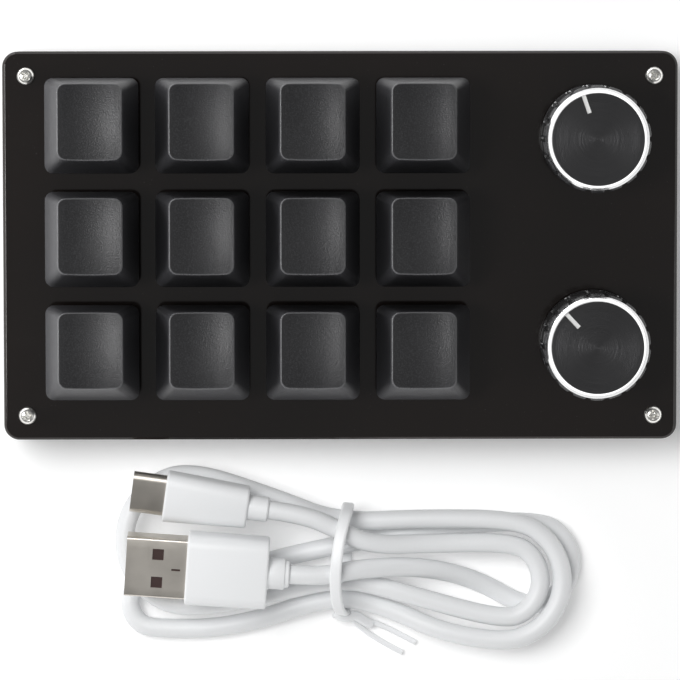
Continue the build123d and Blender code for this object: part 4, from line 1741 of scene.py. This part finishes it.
@dataclass
class Studio:
    """Camera, floor, soft lights and backdrop."""

    scene: bpy.types.Scene
    eye: Point = mm(-7.36, 43.74, 899.3)
    tilt: Point = (0.07, 0.0082, 0.0017)
    lens: float = 241.5
    sensor: float = 36.0
    sight: Pair = (0.05, 20.0)
    floor_radius: float = 3.0
    light_distance: float = 0.8
    backdrop_glow: Profile = ((0.0, 1.5), (0.2, 1.5), (0.36, 0.25), (0.8, 0.1), (0.95, 0.3))

    def camera(self) -> None:
        """Sets the camera at the photograph's viewing angle."""
        data = bpy.data.cameras.new("photo_camera")
        data.lens = self.lens
        data.sensor_width = self.sensor
        data.clip_start, data.clip_end = self.sight
        camera = bpy.data.objects.new("photo_camera", data)
        self.scene.collection.objects.link(camera)
        about_x, about_y, about_z = (
            Matrix.Rotation(angle, 3, axis) for angle, axis in zip(self.tilt, "XYZ")
        )
        turn = (about_z @ about_y @ about_x).transposed().to_4x4()
        camera.matrix_world = Matrix.Translation(self.eye) @ turn
        self.scene.camera = camera

    def floor(self) -> Piece:
        """Lays the pale floor.

        Returns:
            The floor.
        """
        shape = bmesh.new()
        bmesh.ops.create_circle(shape, cap_ends=True, segments=64, radius=self.floor_radius)
        mesh = bpy.data.meshes.new("floor")
        shape.to_mesh(mesh)
        shape.free()
        floor = bpy.data.objects.new("floor", mesh)
        self.scene.collection.objects.link(floor)
        floor.data.materials.append(LIT_TABLE.material())
        return floor

    def light(self, box: Softbox, pieces: Sequence[Piece], reach: Reach) -> None:
        """Adds one soft light.

        Args:
            box: The light.
            pieces: Pieces that it is for, or passes by.
            reach: Which of the two.
        """
        data = bpy.data.lights.new(box.name, "AREA")
        data.shape = "RECTANGLE"
        data.size, data.size_y = box.size
        data.energy = box.power
        light = bpy.data.objects.new(box.name, data)
        light.visible_camera = False
        self.scene.collection.objects.link(light)
        turn = Matrix.Rotation(math.radians(box.turn), 3, "Z")
        way = turn @ Matrix.Rotation(math.radians(-box.lift), 3, "Y")
        place = way @ Vector((self.light_distance, 0.0, 0.0))
        aim = (-place).to_track_quat("-Z", "Y").to_matrix().to_4x4()
        light.matrix_world = Matrix.Translation(place) @ aim
        light.visible_glossy = box.mirrored
        light.visible_diffuse = box.lighting
        group = bpy.data.collections.new(f"{box.name}_pieces")
        for piece in pieces:
            group.objects.link(piece)
        for entry in group.collection_objects:
            entry.light_linking.link_state = reach.value
        light.light_linking.receiver_collection = group

    def backdrop(self) -> None:
        """Bright soft walls all round and a dim ceiling."""
        world = bpy.data.worlds.new("studio")
        self.scene.world = world
        world.use_nodes = True
        shader = Shader(world.node_tree)
        way = shader.node("ShaderNodeTexCoord", output="Generated")
        height = shader.node("ShaderNodeSeparateXYZ", None, {0: way}, "Z")
        glow = shader.ramp(height, *self.backdrop_glow)
        light = shader.node("ShaderNodeBackground", None, {"Color": glow, "Strength": 1.0})
        shader.node("ShaderNodeOutputWorld", None, {"Surface": light})

    def build(self, lead_pieces: Sequence[Piece], knob_bodies: Sequence[Piece]) -> None:
        """Sets up the floor, the backdrop and the lights.

        Args:
            lead_pieces: The white pieces, which have a top light of their own.
            knob_bodies: The fluted pieces, whose edges catch a glow of their own.
        """
        self.scene.view_settings.view_transform = "Standard"
        pale = [*lead_pieces, self.floor()]
        self.backdrop()
        for boxes, pieces, reach in (
            (KEYPAD_LIGHTS, pale, Reach.ALL_BUT),
            (KNOB_GLOWS, knob_bodies, Reach.ONLY),
            (LEAD_LIGHTS, pale, Reach.ONLY),
        ):
            for box in boxes:
                self.light(box, pieces, reach)


def main() -> None:
    """Builds the scene round the frame."""
    logging.basicConfig(level=logging.INFO, format="%(message)s")
    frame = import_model()
    scene = bpy.context.scene
    maker = Maker(scene)
    studio = Studio(scene)
    studio.camera()
    lead_pieces = Lead(maker).build()
    Structure(maker, frame["nodes"]).build()
    Keys(maker).build()
    knob_bodies = Knobs(maker).build()
    CarriedNodes(frame["nodes"]).build()
    studio.build(lead_pieces, knob_bodies)


if __name__ == "__main__":
    main()
